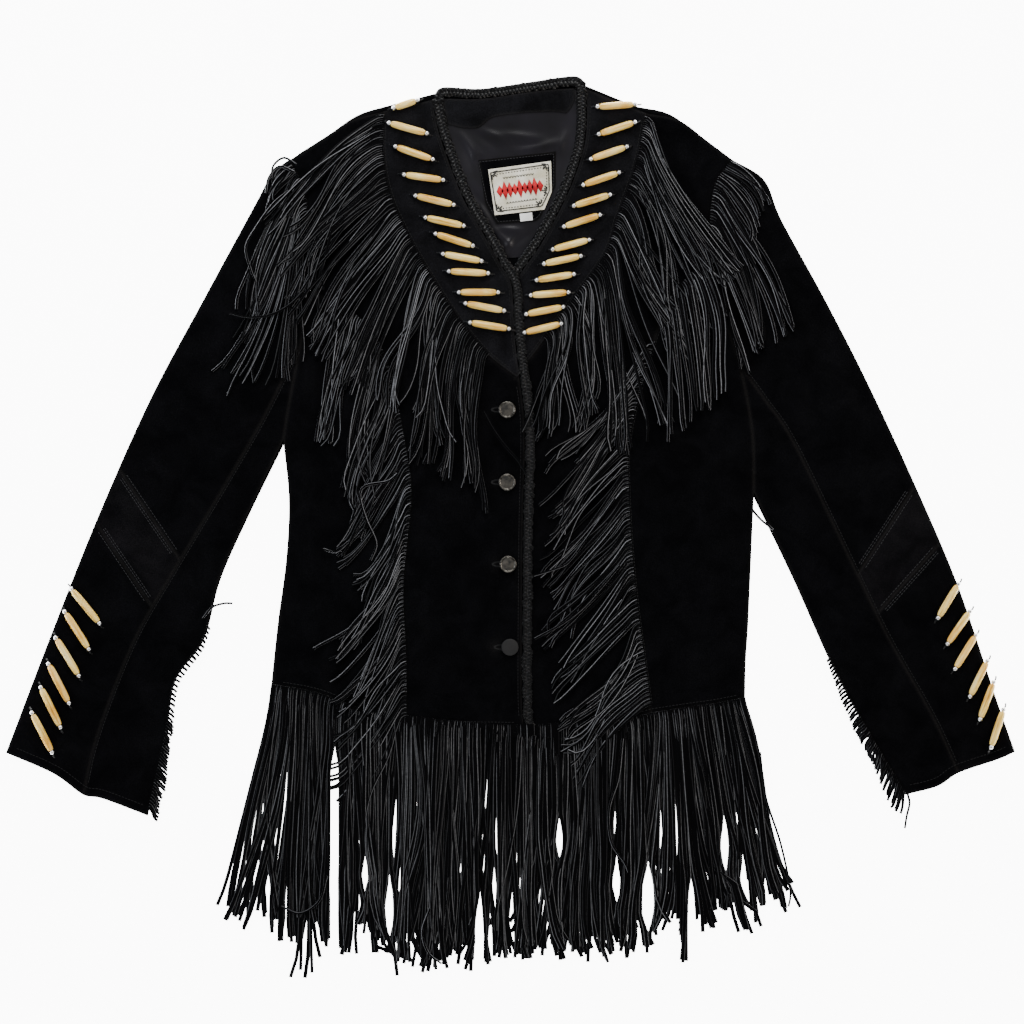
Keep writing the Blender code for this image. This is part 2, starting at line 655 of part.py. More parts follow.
def bead(group, inner, outer, base):
    """One hairpipe with a ball at each end, turned about its axis and sunk a little into the wall."""
    a, b = Vector((*inner, 0)), Vector((*outer, 0))
    run = (b - a).normalized()
    a, b = a - run * BALL_LONG, b + run * BALL_LONG
    start, middle, end = base(np.array([a[:2], (a + b)[:2], b[:2]]) / [[1], [2], [1]])
    lift = middle - (start + end) / 2 + BEAD_RADIUS - BEAD_SINK
    a.z, b.z = start + lift, end + lift
    length = (b - a).length
    half = [(0, 0), (1.5, BALL_RADIUS), (BALL_LONG - 0.6, 1.5), (BALL_LONG, BEAD_END), (length / 2, BEAD_RADIUS)]
    profile = half + [(length - z, r) for z, r in half[-2::-1]]
    mesh = bpy.data.meshes.new("bead_profile")
    rings = [(r * MM, 0, z * MM) for z, r in profile[::-1]]
    mesh.from_pydata(rings, [(i, i + 1) for i in range(len(rings) - 1)], [])
    obj = bpy.data.objects.new("bead_profile", mesh)
    group.objects.link(obj)
    screw = obj.modifiers.new("Screw", "SCREW")
    screw.steps = screw.render_steps = BEAD_SIDES
    screw.use_merge_vertices = True
    screw.merge_threshold = 0.00001
    place = (b - a).to_track_quat("Z", "Y").to_matrix().to_4x4()
    obj.matrix_world = Matrix.Translation((a - CENTRE) * MM) @ place
    obj.hide_render = True
    obj.display_type = "WIRE"


def trim(obj, rows, base):
    """Beads joined to a panel's wall."""
    group = bpy.data.collections.new(f"beads_{obj.name}")
    cutters.children.link(group)
    for inner_x, inner_y, outer_x, outer_y in rows:
        bead(group, (inner_x, inner_y), (outer_x, outer_y), base)
    union = obj.modifiers.new("Beads", "BOOLEAN")
    union.operation = "UNION"
    union.operand_type = "COLLECTION"
    union.collection = group


def button(index, x, y):
    """A shank button: a foot that stands on the front, and a domed head with a raised rim."""
    foot = float(heights(np.array([[x, y]]), right)[0]) + WALL + 0.3
    profile = [(0, 3.6), (0.72, 3.5), (0.80, 4.2), (1.0, 3.4), (1.0, 2.4), (0.45, 1.4), (0.45, 0), (0, 0)]
    mesh = bpy.data.meshes.new(f"button_{index}")
    rings = [(share * BUTTON_RADIUS * MM, 0, z * MM) for share, z in profile]
    mesh.from_pydata(rings, [(i, i + 1) for i in range(len(rings) - 1)], [])
    mesh.materials.append(finish(f"button_{index}", PEWTER, 0.4, 0.6 if index < 4 else 0.0))
    obj = bpy.data.objects.new(f"button_{index}", mesh)
    obj.location = (Vector((x, y, foot)) - CENTRE) * MM
    screw = obj.modifiers.new("Screw", "SCREW")
    screw.steps = screw.render_steps = BUTTON_SIDES
    screw.use_merge_vertices = True
    screw.merge_threshold = 0.00001
    jacket.objects.link(obj)


for old in list(bpy.data.objects):
    bpy.data.objects.remove(old)
jacket = bpy.data.collections.new("fringe_jacket")
cutters = bpy.data.collections.new("bead_shapes")
cutters.hide_render = True
for collection in (jacket, cutters):
    bpy.context.scene.collection.children.link(collection)

back_panel()
neck_pieces()
for side in (right, left):
    yoke = body_panels(side)
    forearm = sleeve_panels(side)
    lacing(f"lacing_{side.name}", side.lacing, lacing_level(side))
    trim(yoke, YOKE_BEADS[side.name], lambda place, side=side: heights(place, side) + YOKE_WALL)
    trim(forearm, SLEEVE_BEADS[side.name], lambda place, side=side: heights(place, side) + WALL)
    fringe(side)
comb("fringe_princess_left_top", left.princess, -PRINCESS_SIDE, PRINCESS_TOP_FRINGE, on_cloth, STRAND, 2)
comb("fringe_hem_back", samples(BACK_HEM, 16), -1, BACK_FRINGE, at_level(UNDER_HEM), HEM_STRAND, 3)
for index, (x, y) in enumerate(BUTTONS, start=1):
    button(index, x, y)
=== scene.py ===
"""Fringe jacket laid flat, front up: the finish of every piece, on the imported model.

Sizes and places are in millimetres on the drawing that the jacket was cut from: +X to the wearer's left, +Y to
the neck and the floor at z = 0. A mesh is moved to the part's origin and turned to metres as it is made.
"""
import math

import bmesh
import bpy
import numpy as np
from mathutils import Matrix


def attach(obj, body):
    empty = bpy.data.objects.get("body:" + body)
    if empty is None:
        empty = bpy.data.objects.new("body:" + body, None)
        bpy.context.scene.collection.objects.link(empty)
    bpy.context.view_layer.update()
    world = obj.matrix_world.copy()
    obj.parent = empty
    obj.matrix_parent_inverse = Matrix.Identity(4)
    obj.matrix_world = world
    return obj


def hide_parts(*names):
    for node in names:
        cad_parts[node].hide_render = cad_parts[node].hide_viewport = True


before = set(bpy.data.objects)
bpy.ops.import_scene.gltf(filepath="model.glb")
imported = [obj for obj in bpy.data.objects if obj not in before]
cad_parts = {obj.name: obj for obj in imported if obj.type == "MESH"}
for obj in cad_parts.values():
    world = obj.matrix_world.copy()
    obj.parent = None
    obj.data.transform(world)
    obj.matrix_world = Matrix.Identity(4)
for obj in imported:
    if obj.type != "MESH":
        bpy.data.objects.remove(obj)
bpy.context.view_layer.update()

MM = 0.001
CENTRE = np.array([0.5, 2.2, 0.0])

# Cloth, from the floor up
BACK_TOP = 2.0
FRONT_LOWEST = 2.35
PUFF = 3.2
PUFF_REACH = 45.0
V_SHARE = 0.39
V_REACH = 35.0
WALL = 1.8
YOKE_WALL = 2.4
# Where the right front laps over the left: the level there, and how far across and how high the lap reaches,
# each with the stretch over which it starts
LAP_UNDER = 2.6
LAP_OVER = 5.4
LAP_RIGHT = ((-65, 40), (340, 50))
LAP_LEFT = ((70, 40), (330, 60))
SHELL = 1.3
ROLL = 0.75
YOKE_ROLL = 0.35
ROLL_REACH = 2.4
# The back reaches this far under the neck braid, the fringe roots and the sleeves
LAPPED = 2.5

# Neck opening: upper faces of the lining, facing and patch, and the label's lower face
LINING_TOP = 3.3
FACING_TOP = 4.9
PATCH_TOP = 4.8
LABEL_LOW = 5.1

BRAID_HALF = 5.5
BRAID_EDGE = 5.65
BRAID_LOW = 3.6
LACE_WIDTH = 3.7
LACE_WALL = 1.3
BRAID_SWING = 3.4
BRAID_LIFT = 1.0
BRAID_PERIOD = 11.0
BRAID_RISE = 1.45
# How unevenly the braid is worked, sideways and, as a share of its period, along it
UNEVEN_PULL = 0.5
UNEVEN_SWING = 0.7
UNEVEN_STEP = 0.035
# The edge under the braid: its upper face, lower at its rims, and its wall
EDGE_RISE = 1.3
EDGE_ROUND = 0.5
EDGE_WALL = 1.1

STRAND_WIDTH = 3.3
STRAND_WALL = 1.25
STRAND_TAPER = 0.15
STRAND_RINGS = 20
ROOT_TUCK = 1.2
# How a strand strays from its heading, in degrees: with its bunch, and by itself
BUNCH_LEAN = 4.5
MOST_LEAN = 7.0
OWN_LEAN = 1.6
BUNCH_WAVE = 6.5
OWN_WAVE = 2.2
STRAY_LEAN = 12.0
STRAY_SHARE = 0.07
# The hook at its tip, in degrees, and the share of its length where the hook starts
BUNCH_HOOK = 6.0
OWN_HOOK = 8.0
HOOK_FROM = 0.86
# How its length strays, as shares
BUNCH_LENGTH = 0.045
OWN_LENGTH = 0.016
# A gap in the hem opens over this much of its top and closes over this much of its bottom; a strand takes the
# side of the gap that it is on a little below the top
GAP_OPENS = 42
GAP_CLOSES = 26
GAP_SIDE_AT = 12
STRAY_LIFT = 6.0

BEAD_RADIUS = 3.9
BEAD_THICK = 3.75
BEAD_END = 2.9
BALL_RADIUS = 2.55
BALL_LONG = 4.6
# A bead's length as a share of its row's mean, and its ball's middle past its end
BEAD_SHARE = 0.95
BALL_STEP = 0.53 * BALL_LONG
BEAD_SINK = 0.6
# The lace that comes out past a ball: where it starts, how far it goes, and its wave
TAIL_START = 1.2
TAIL_RUN = 5.5
TAIL_WAVE = 0.8

# Segments along each seam; the pieces that meet there share them
YOKE_ROWS = 84
EDGE_ROWS = 66
PRINCESS_ROWS = 96
SHOULDER_IN = 18
SHOULDER_OUT = 24
ARMHOLE_TOP = 30
SIDE_ROWS = 60
SLEEVE_ROWS = 138
DENSE = 6

# Seam tables: columns x, y
RIGHT = {
    "shoulder": [(-133, 436), (-168, 426), (-198, 406), (-233, 384)],
    "armhole": [(-233, 384), (-217, 354), (-211, 307), (-212, 249), (-220, 191), (-231, 133), (-238, 91)],
    "side": [(-238, 91), (-232, 28), (-235, -35), (-243, -98), (-250, -166)],
    "hem_side": [(-250, -166), (-205, -174), (-160, -190), (-110, -206)],
    "princess": [
        (-212, 249), (-159, 219), (-130, 174), (-109, 75),
        (-105, 26), (-113, -60), (-110, -140), (-110, -206),
    ],
    "yoke": [
        (-133, 436), (-134, 395), (-127, 351), (-108, 307),
        (-82, 261), (-54, 218), (-24, 182), (10, 155),
    ],
    "lacing_v": [
        (-76, 449), (-70, 418), (-58, 382), (-43, 345), (-24, 312),
        (-5, 278), (7, 255), (10, 205), (15, 160),
    ],
    "lacing_edge": [(15, 160), (20, 120), (21, 75), (19, -6), (18, -167), (20, -209)],
    "sleeve_out": [
        (-233, 384), (-250, 371), (-265, 343), (-322, 238),
        (-378, 133), (-434, 7), (-484, -119), (-529, -237),
    ],
    "sleeve_in": [(-238, 91), (-278, 7), (-305, -56), (-322, -119), (-351, -161), (-361, -219), (-380, -303)],
    "sleeve_seam": [
        (-220, 191), (-260, 112), (-302, 39), (-352, -45),
        (-395, -121), (-432, -216), (-448, -281),
    ],
    "cuff": [(-529, -237), (-479, -259), (-448, -281), (-428, -285), (-380, -303)],
    "hem_centre": [(-110, -206), (-45, -209), (14, -210)],
    "armhole_below": (2, 4),
    "band_outer": (0.535, 0.625),
    "band_seam": (0.49, 0.60),
    "turn": 62,
}
LEFT = {
    "shoulder": [(143, 434), (177, 427), (206, 406), (234, 385)],
    "armhole": [
        (234, 385), (216, 358), (210, 307), (213, 280),
        (223, 228), (241, 170), (254, 102), (256, 36),
    ],
    "side": [(256, 36), (253, -35), (250, -98), (247, -140), (246, -180)],
    "hem_side": [(246, -180), (215, -186), (180, -191), (148, -196)],
    "princess": [
        (213, 280), (189, 264), (163, 228), (142, 165),
        (126, 102), (123, 49), (130, -60), (148, -196),
    ],
    "yoke": [(143, 434), (137, 399), (128, 365), (114, 327), (99, 284), (53, 221), (15, 170), (-17, 148)],
    "lacing_v": [
        (75, 459), (75, 427), (72, 399), (59, 360), (43, 327),
        (26, 297), (9, 273), (-12, 240), (-22, 190), (-23, 150),
    ],
    "lacing_edge": [(-23, 150), (-23, 75), (-23, -100), (-23, -213)],
    "sleeve_out": [
        (234, 385), (267, 364), (285, 322), (331, 238), (374, 154),
        (423, 49), (470, -61), (511, -182), (530, -236),
    ],
    "sleeve_in": [(256, 36), (299, -56), (338, -145), (377, -218), (415, -281)],
    "sleeve_seam": [(241, 170), (268, 133), (299, 86), (365, -51), (398, -118), (443, -198), (471, -258)],
    "cuff": [(530, -236), (512, -244), (471, -258), (449, -272), (415, -281)],
    "hem_centre": [(148, -196), (95, -211), (51, -222), (-17, -213)],
    "armhole_below": (3, 3),
    "band_outer": (0.57, 0.665),
    "band_seam": (0.52, 0.615),
    "turn": -64,
}
TABLES = {"right": RIGHT, "left": LEFT}
NECK_LACING = [(-69, 455), (-29, 455), (28, 463), (67, 466)]
NECK_TURN = [(-75, 445), (-74, 452), (-67, 456.5), (-29, 455), (28, 463), (64, 468), (73, 465), (75.5, 456)]
FACING_LOWER = [(-58, 420), (-34, 419), (-15, 431), (39, 436), (62, 434)]
BACK_HEM = [(-250, -166), (-190, -186), (0, -208), (190, -192), (246, -180)]
PATCH_CORNERS = [(-33, 385), (48, 394), (48, 358), (32, 325), (27, 321), (-14, 318), (-26, 340)]
LABEL_CORNERS = [(-23, 375), (43, 384), (44, 352), (36, 333), (-16, 327)]
BORDER_CORNERS = [(-20.5, 371.5), (40.5, 380.5), (41.2, 352.5), (33.5, 336.5), (-14, 331)]
TAB_CORNERS = [(10, 328.5), (23, 330), (24, 322), (11, 320.5)]

# Main creases, as soft troughs: columns x, y, turn, length, width, depth
FOLDS = [
    (-205, 71, -56, 95, 11, 2.2),
    (-190, -60, -80, 120, 16, 1.6),
    (-60, -110, -85, 110, 18, 1.0),
    (250, 134, -90, 75, 10, 2.0),
    (196, 40, -115, 110, 14, 1.8),
    (75, -60, -95, 120, 18, 1.2),
    (200, -110, -75, 110, 14, 1.5),
    (-262, 140, -118, 150, 13, 2.4),
    (-330, 60, -125, 160, 14, 2.0),
    (-385, -40, -160, 70, 11, 1.8),
    (-420, -160, -110, 150, 14, 1.5),
    (270, 145, -56, 125, 12, 2.5),
    (340, 70, -58, 170, 14, 2.0),
    (395, -40, -30, 70, 11, 1.8),
    (445, -150, -68, 150, 14, 1.5),
]
# Finer creases, a negative depth for a soft ridge: the same columns
CREASES = [
    (-228, 205, -70, 60, 8, 1.0),
    (-170, 120, -60, 80, 12, -0.8),
    (-150, -140, -88, 90, 13, -0.7),
    (-60, 20, -86, 120, 16, -0.7),
    (-20, -90, -84, 90, 10, 0.6),
    (-75, -30, -70, 70, 9, 0.5),
    (60, 30, -98, 110, 14, -0.7),
    (40, -130, -86, 100, 12, 0.8),
    (95, -90, -80, 80, 10, -0.6),
    (170, -40, -96, 120, 15, -0.9),
    (215, -10, -78, 90, 10, 0.9),
    (165, 150, -110, 70, 10, 0.7),
    (230, 90, -125, 60, 8, 0.9),
    (-285, 215, -118, 110, 16, -1.0),
    (-300, 120, -140, 60, 8, 1.0),
    (-345, 135, -116, 120, 16, -1.0),
    (-290, 45, -150, 70, 8, 1.1),
    (-360, 10, -165, 60, 8, 1.0),
    (-400, 40, -112, 90, 12, -0.8),
    (-430, -90, -100, 80, 10, -0.8),
    (-400, -110, -150, 60, 8, 0.9),
    (-470, -200, -115, 70, 10, 0.8),
    (-385, -230, -75, 90, 10, -0.8),
    (300, 230, -62, 110, 15, -1.0),
    (305, 105, -35, 70, 9, 1.0),
    (355, 130, -64, 120, 15, -1.0),
    (330, 20, -30, 60, 8, 1.1),
    (375, -10, -20, 60, 8, 1.0),
    (420, 0, -66, 90, 12, -0.8),
    (410, -110, -55, 100, 12, -0.9),
    (455, -75, -40, 60, 9, 0.9),
    (400, -180, -60, 80, 10, 0.8),
    (490, -205, -68, 60, 9, -0.7),
]
# Soft folds of the satin: the same columns
SATIN_FOLDS = [
    (-46, 392, -60, 60, 4.0, 0.6),
    (-40, 398, -52, 60, 3.5, -1.6),
    (-34, 378, -70, 56, 3.5, -1.5),
    (-25, 406, -35, 66, 4.0, 0.6),
    (-18, 412, -28, 60, 3.5, -1.2),
    (10, 410, -8, 76, 5.0, -1.3),
    (16, 402, 2, 60, 3.5, 0.6),
    (34, 400, 14, 60, 4.0, -1.2),
    (52, 398, 70, 60, 4.0, -1.6),
    (58, 380, 74, 50, 3.5, 0.6),
    (-8, 304, -44, 44, 3.2, -1.3),
    (12, 302, 38, 44, 3.2, 0.6),
    (2, 312, -6, 46, 3.6, -1.3),
    (-2, 296, 62, 34, 3.0, -1.2),
    (-26, 330, -58, 44, 3.2, -1.4),
    (-34, 344, -62, 40, 3.0, 0.6),
]

# Beads, with a silver ball at each end: columns inner x, inner y, outer x, outer y
YOKE_BEADS = {
    "right": [
        (-89, 413, -125, 423), (-83, 386, -118, 398), (-72, 364, -109, 369),
        (-60, 338, -98, 347), (-50, 316, -87, 324), (-40, 295, -77, 307), (-31, 279, -69, 286),
        (-24, 266, -63, 268), (-14, 246, -52, 246), (-8, 227, -45, 234), (-3, 208, -40, 214),
    ],
    "left": [
        (97, 441, 126, 443), (94, 412, 130, 424), (86, 386, 121, 398), (78, 359, 113, 371),
        (68, 337, 104, 348), (57, 315, 94, 327), (45, 291, 83, 301), (36, 276, 74, 284),
        (28, 259, 67, 265), (21, 243, 62, 246), (21, 224, 52, 230), (20, 205, 49, 212),
    ],
}
SLEEVE_BEADS = {
    "right": [
        (-459, -66, -431, -100), (-466, -90, -442, -127), (-475, -118, -453, -154),
        (-483, -145, -463, -183), (-491, -170, -472, -208), (-501, -195, -480, -236),
    ],
    "left": [
        (449, -95, 470, -60), (459, -122, 482, -89), (467, -148, 488, -114),
        (483, -176, 500, -142), (494, -198, 506, -166), (505, -229, 517, -193),
    ],
}
# The bead that turns over the right shoulder, so only its near end shows from the front
TURNED_BEAD = [(-99, 447, -120, 440)]
BUTTONS = [(-3, 123), (-3, 47), (-2, -39), (0, -126)]

# Fringe: columns start, end, strands, length at start and end, heading at the root at start and end,
# heading at the tip at start and end. Headings are degrees from straight down, to the wearer's left.
YOKE_FRINGE = {
    "right": [
        (0.015, 0.31, 42, 150, 162, -58, -44, -30, -26),
        (0.315, 0.60, 44, 166, 150, -40, -25, -24, -8),
        (0.605, 0.87, 38, 150, 170, -20, -4, -4, 2),
    ],
    "left": [
        (0.015, 0.22, 30, 175, 168, 21, 21, 17, 22),
        (0.225, 0.40, 25, 160, 150, 25, 27, 22, 22),
        (0.405, 0.55, 20, 215, 190, 22, 15, 18, 9),
        (0.555, 0.775, 30, 136, 114, 12, 8, 2, 0),
    ],
}
PRINCESS_FRINGE = {
    "right": [
        (0.07, 0.21, 24, 142, 138, -8, -4, -3, -1),
        (0.24, 0.50, 34, 138, 120, -8, -20, -16, -38),
        (0.505, 0.98, 58, 116, 124, -20, -28, -38, -38),
    ],
    "left": [(0.22, 0.98, 92, 136, 122, -36, -40, -31, -35)],
}
PRINCESS_TOP_FRINGE = [(0.015, 0.075, 10, 136, 132, 20, 12, 7, 2), (0.08, 0.17, 8, 122, 128, 12, 8, 2, 0)]
ARMHOLE_FRINGE = {
    "right": [
        (0.005, 0.05, 9, 26, 52, -68, -52, -6, -8),
        (0.055, 0.14, 16, 148, 168, -20, -17, -17, -15),
        (0.145, 0.20, 11, 196, 192, -12, -13, -34, -30),
        (0.205, 0.27, 11, 165, 142, -8, -4, -7, 2),
    ],
    "left": [(0.01, 0.08, 11, 58, 74, 66, 58, 14, 11), (0.09, 0.34, 30, 168, 116, 32, 22, 25, 14)],
}
SLEEVE_FRINGE = {
    "right": [(0.50, 0.75, 22, 5, 8, 50, 42, 42, 34), (0.76, 0.98, 30, 9, 18, 44, 38, 42, 36)],
    "left": [(0.54, 0.72, 18, 5, 12, -44, -36, -34, -26), (0.73, 0.99, 36, 13, 27, -32, -14, -24, -8)],
}
HEM_FRINGE = {
    "right": {
        "side": [
            (0.01, 0.12, 14, 238, 250, -2, -1, -22, -8),
            (0.13, 0.46, 36, 250, 256, -1, 0, -6, 0),
            (0.47, 0.99, 54, 246, 244, 0, 0, 0, -1),
        ],
        "centre": [(0.01, 0.24, 24, 245, 250, -1, 0, -1, 0), (0.25, 0.62, 38, 250, 252, 0, 0, 1, 0)],
    },
    "left": {
        "side": [(0.01, 0.20, 21, 210, 214, 18, 13, 8, 8), (0.21, 0.99, 62, 220, 240, 12, 0, 8, 0)],
        "centre": [
            (0.01, 0.20, 22, 234, 230, 1, 0, 2, 0),
            (0.21, 0.54, 40, 224, 222, 0, 0, 0, 1),
            (0.55, 0.99, 50, 226, 234, 0, 0, 1, 0),
        ],
    },
}
BACK_FRINGE = [
    (0.015, 0.26, 52, 234, 240, -3, -1, -9, -1),
    (0.265, 0.60, 80, 240, 226, 0, 0, 0, 0),
    (0.605, 0.78, 36, 222, 222, 0, 0, 1, 1),
    (0.785, 0.985, 50, 210, 204, 1, 14, 2, 9),
]
# Gaps that the hem's strands leave: columns x, top, bottom, half width
PARTINGS = [
    (-184, -216, -500, 6.0),
    (-152, -328, -392, 5.5),
    (-126, -350, -440, 5.5),
    (-32, -376, -500, 6.0),
    (52, -288, -358, 5.5),
    (84, -222, -254, 6.0),
    (111, -284, -326, 5.0),
    (113, -336, -404, 6.0),
    (145, -340, -432, 8.0),
    (190, -350, -500, 4.5),
    (225, -290, -366, 5.5),
    (245, -330, -392, 5.0),
    (-236, -402, -500, 4.5),
    (-164, -424, -500, 5.0),
    (-8, -428, -500, 5.0),
    (270, -372, -500, 5.0),
]
# Loose strands that lie away from their bunch, on listed knots: columns x, y
STRAY_STRANDS = [
    [(-232, 352), (-249, 338), (-265, 316), (-277, 293), (-271, 268), (-266, 257)],
    [(-217, 246), (-232, 232), (-252, 222), (-275, 220), (-294, 224)],
    [(-118, 56), (-128, 48), (-152, 43), (-157, 31), (-150, 7), (-140, -17), (-146, -35)],
    [(-170, -16), (-182, -26), (-196, -23)],
    [(-28, 121), (-18, 103), (-6, 86), (8, 70), (17, 56)],
    [(-322, -96), (-312, -84), (-300, -80), (-291, -80)],
    [(254, 18), (262, 9), (270, 2), (276, -3)],
    [(110, 30), (85, -5), (62, -36), (47, -44), (25, -51)],
    [(417, -280), (419, -290), (416, -303), (414, -316)],
    [(115, -40), (90, -70), (74, -87), (54, -102), (26, -117)],
    [(118, -222), (114, -262), (104, -296), (106, -330), (120, -352), (124, -362)],
    [(-192, -366), (-200, -392), (-220, -405), (-240, -398)],
    [(262, -236), (268, -282), (284, -332), (294, -380), (292, -398)],
    [(-84, -400), (-92, -424), (-86, -446), (-72, -458)],
    [(-224, 380), (-237, 387), (-248, 379), (-250, 366)],
    [(-226, 372), (-242, 378), (-253, 366), (-256, 350)],
]


def smooth(knots):
    """Points every few millimetres on a Catmull-Rom curve through the knots."""
    knots = np.array(knots, float)
    ends = np.vstack([2 * knots[0] - knots[1], knots, 2 * knots[-1] - knots[-2]])
    t = np.linspace(0, 1, 24, endpoint=False)[:, None]
    pieces = []
    for a, b, c, d in zip(ends, ends[1:], ends[2:], ends[3:]):
        pieces.append(b + 0.5 * t * (c - a + t * (2 * a - 5 * b + 4 * c - d + t * (3 * (b - c) + d - a))))
    return np.vstack(pieces + [knots[-1:]])


def at(line, shares):
    """Points at these shares of a line's length."""
    run = np.concatenate([[0], np.cumsum(np.hypot(*np.diff(line, axis=0).T))])
    where = np.asarray(shares) * run[-1]
    return np.stack([np.interp(where, run, line[:, i]) for i in (0, 1)], axis=-1)


def samples(knots, segments, start=0.0, end=1.0):
    return at(smooth(knots), np.linspace(start, end, segments + 1))


def share_of(line, point):
    """The share of a line's length at its point nearest to this one."""
    run = np.concatenate([[0], np.cumsum(np.hypot(*np.diff(line, axis=0).T))])
    return run[np.argmin(np.hypot(*(line - point).T))] / run[-1]


def offset(line, distance):
    """The line moved sideways, to the left of its own direction where the distance is positive."""
    steps = np.diff(line, axis=0)
    steps /= np.hypot(*steps.T)[:, None]
    before, after = np.vstack([steps[:1], steps]), np.vstack([steps, steps[-1:]])
    mid = before + after
    mid /= np.hypot(*mid.T)[:, None]
    stretch = 1 / np.maximum((mid * after).sum(axis=1), 0.5)
    return line + distance * stretch[:, None] * np.stack([-mid[:, 1], mid[:, 0]], axis=1)


def join(*lines):
    """Lines end to end, each shared point once."""
    return np.vstack([lines[0]] + [line[1:] for line in lines[1:]])


def distance_to(points, line):
    """Each point's distance to a line of straight segments: the least over them, worked out in blocks."""
    a, b = line[:-1], line[1:]
    along = b - a
    run = np.maximum((along**2).sum(axis=1), 1e-9)
    near = []
    for block in np.array_split(points, max(1, len(points) // 2000)):
        rel = block[:, None, :] - a[None]
        t = np.clip((rel * along).sum(axis=2) / run, 0, 1)
        near.append(np.sqrt(((rel - t[..., None] * along) ** 2).sum(axis=2)).min(axis=1))
    return np.concatenate(near)


def inside(points, line):
    """True where a point is inside a closed line: it has an odd number of crossings to its right."""
    a, b = line, np.roll(line, -1, axis=0)
    x, y = points[:, 0][:, None], points[:, 1][:, None]
    spans = (a[:, 1] > y) != (b[:, 1] > y)
    rise = np.where(np.abs(b[:, 1] - a[:, 1]) < 1e-9, 1e-9, b[:, 1] - a[:, 1])
    return (spans & (x < a[:, 0] + (y - a[:, 1]) * (b[:, 0] - a[:, 0]) / rise)).sum(axis=1) % 2 == 1


def ease(value):
    value = np.clip(value, 0, 1)
    return value * value * (3 - 2 * value)


class Side:
    """The shared seam samples of one side of the jacket."""

    def __init__(self, name):
        table = TABLES[name]
        self.name = name
        self.table = table
        self.out = 1 if name == "left" else -1
        self.lacing = join(samples(table["lacing_v"], YOKE_ROWS), samples(table["lacing_edge"], EDGE_ROWS))
        self.edge = offset(self.lacing, self.out * BRAID_EDGE)
        yoke = samples(table["yoke"], YOKE_ROWS)
        yoke[-1] = self.edge[YOKE_ROWS]
        self.yoke = yoke
        self.shoulder_in = np.linspace(self.edge[0], yoke[0], SHOULDER_IN + 1)
        self.shoulder_out = samples(table["shoulder"], SHOULDER_OUT)
        arm = smooth(table["armhole"])
        princess, seam = share_of(arm, table["princess"][0]), share_of(arm, table["sleeve_seam"][0])
        front, under = table["armhole_below"]
        self.arm_top = at(arm, np.linspace(0, princess, ARMHOLE_TOP + 1))
        self.arm_middle = at(arm, np.linspace(princess, seam, front * DENSE + 1))
        self.arm_low = at(arm, np.linspace(seam, 1, under * DENSE + 1))
        self.armhole = join(self.arm_top, self.arm_middle, self.arm_low)
        self.princess = samples(table["princess"], PRINCESS_ROWS)
        self.princess[0] = self.arm_top[-1]
        self.side = samples(table["side"], SIDE_ROWS)
        self.hem_side = samples(table["hem_side"], 40)
        self.hem_centre = samples(table["hem_centre"], 40)
        self.hem_centre[-1] = self.edge[-1]
        self.cuff_split = share_of(smooth(table["cuff"]), table["sleeve_seam"][-1])


right, left = Side("right"), Side("left")


def outline():
    """The cloth's outer edge, round both sleeves, without the fringe."""
    half = {}
    for side in (right, left):
        table = side.table
        sleeve = [samples(table["sleeve_out"], 40), samples(table["cuff"], 8)]
        sleeve.append(samples(table["sleeve_in"], 30)[::-1])
        ends = [at(side.shoulder_in, np.linspace(0, 1, 4)), samples(table["shoulder"], 4)]
        hem = [at(side.side, np.linspace(0, 1, 11)), at(side.hem_side, np.linspace(0, 1, 6))]
        half[side.name] = join(*ends, *sleeve, *hem, at(side.hem_centre, np.linspace(0, 1, 6)))
    return np.vstack([half["right"], half["left"][::-1]])


OUTLINE = outline()
NECK_TOP = 285.0


def troughs(points, table):
    """The sum of soft troughs: depth times exp(-(across / width)^2), eased to nothing at half the length."""
    x, y = points.T
    total = np.zeros(len(points))
    for fx, fy, turn, length, width, depth in table:
        along = (math.cos(math.radians(turn)), math.sin(math.radians(turn)))
        run = (x - fx) * along[0] + (y - fy) * along[1]
        across = (x - fx) * along[1] - (y - fy) * along[0]
        total += depth * np.exp(-((across / width) ** 2)) * (1 - ease(np.abs(run) / (0.5 * length)))
    return total


def slack(points):
    """The uneven lie of soft leather: three slow crossed waves of a few tenths of a millimetre."""
    x, y = points.T
    waves = 0.30 * np.sin(x / 13.0 + 1.7 * np.sin(y / 31.0)) * np.sin(y / 17.0 + 1.3 * np.sin(x / 27.0))
    return waves + 0.22 * np.sin((x + y) / 9.0 + 2.0 * np.sin((x - y) / 41.0)) * np.sin((x - 2 * y) / 37.0)


def heights(points, side, fine=False):
    """Height of the cloth's lower face: a low puff closed at the outline, creases, and the lapped fronts."""
    x, y = points.T
    v_line = side.lacing[side.lacing[:, 1] > NECK_TOP][::4]
    v_share = V_SHARE + (1 - V_SHARE) * ease(distance_to(points, v_line) / V_REACH)
    puff = ease(distance_to(points, OUTLINE) / PUFF_REACH) * v_share
    z = PUFF * puff - troughs(points, FOLDS)
    if fine:
        z = z - puff * (troughs(points, CREASES) + slack(points))
    z = FRONT_LOWEST + np.maximum(z, 0)
    (reach, across), (top, down) = LAP_RIGHT if side.name == "right" else LAP_LEFT
    lap = ease(side.out * (reach - x) / across) * ease((top - y) / down)
    if side.name == "right":
        return z + lap * np.maximum(LAP_OVER - z, 0)
    return z + lap * (LAP_UNDER - z)


def colour(code):
    """An sRGB hex colour as linear red, green, blue and alpha."""
    values = [int(code[i : i + 2], 16) / 255 for i in (1, 3, 5)]
    return [v / 12.92 if v <= 0.04045 else ((v + 0.055) / 1.055) ** 2.4 for v in values] + [1.0]


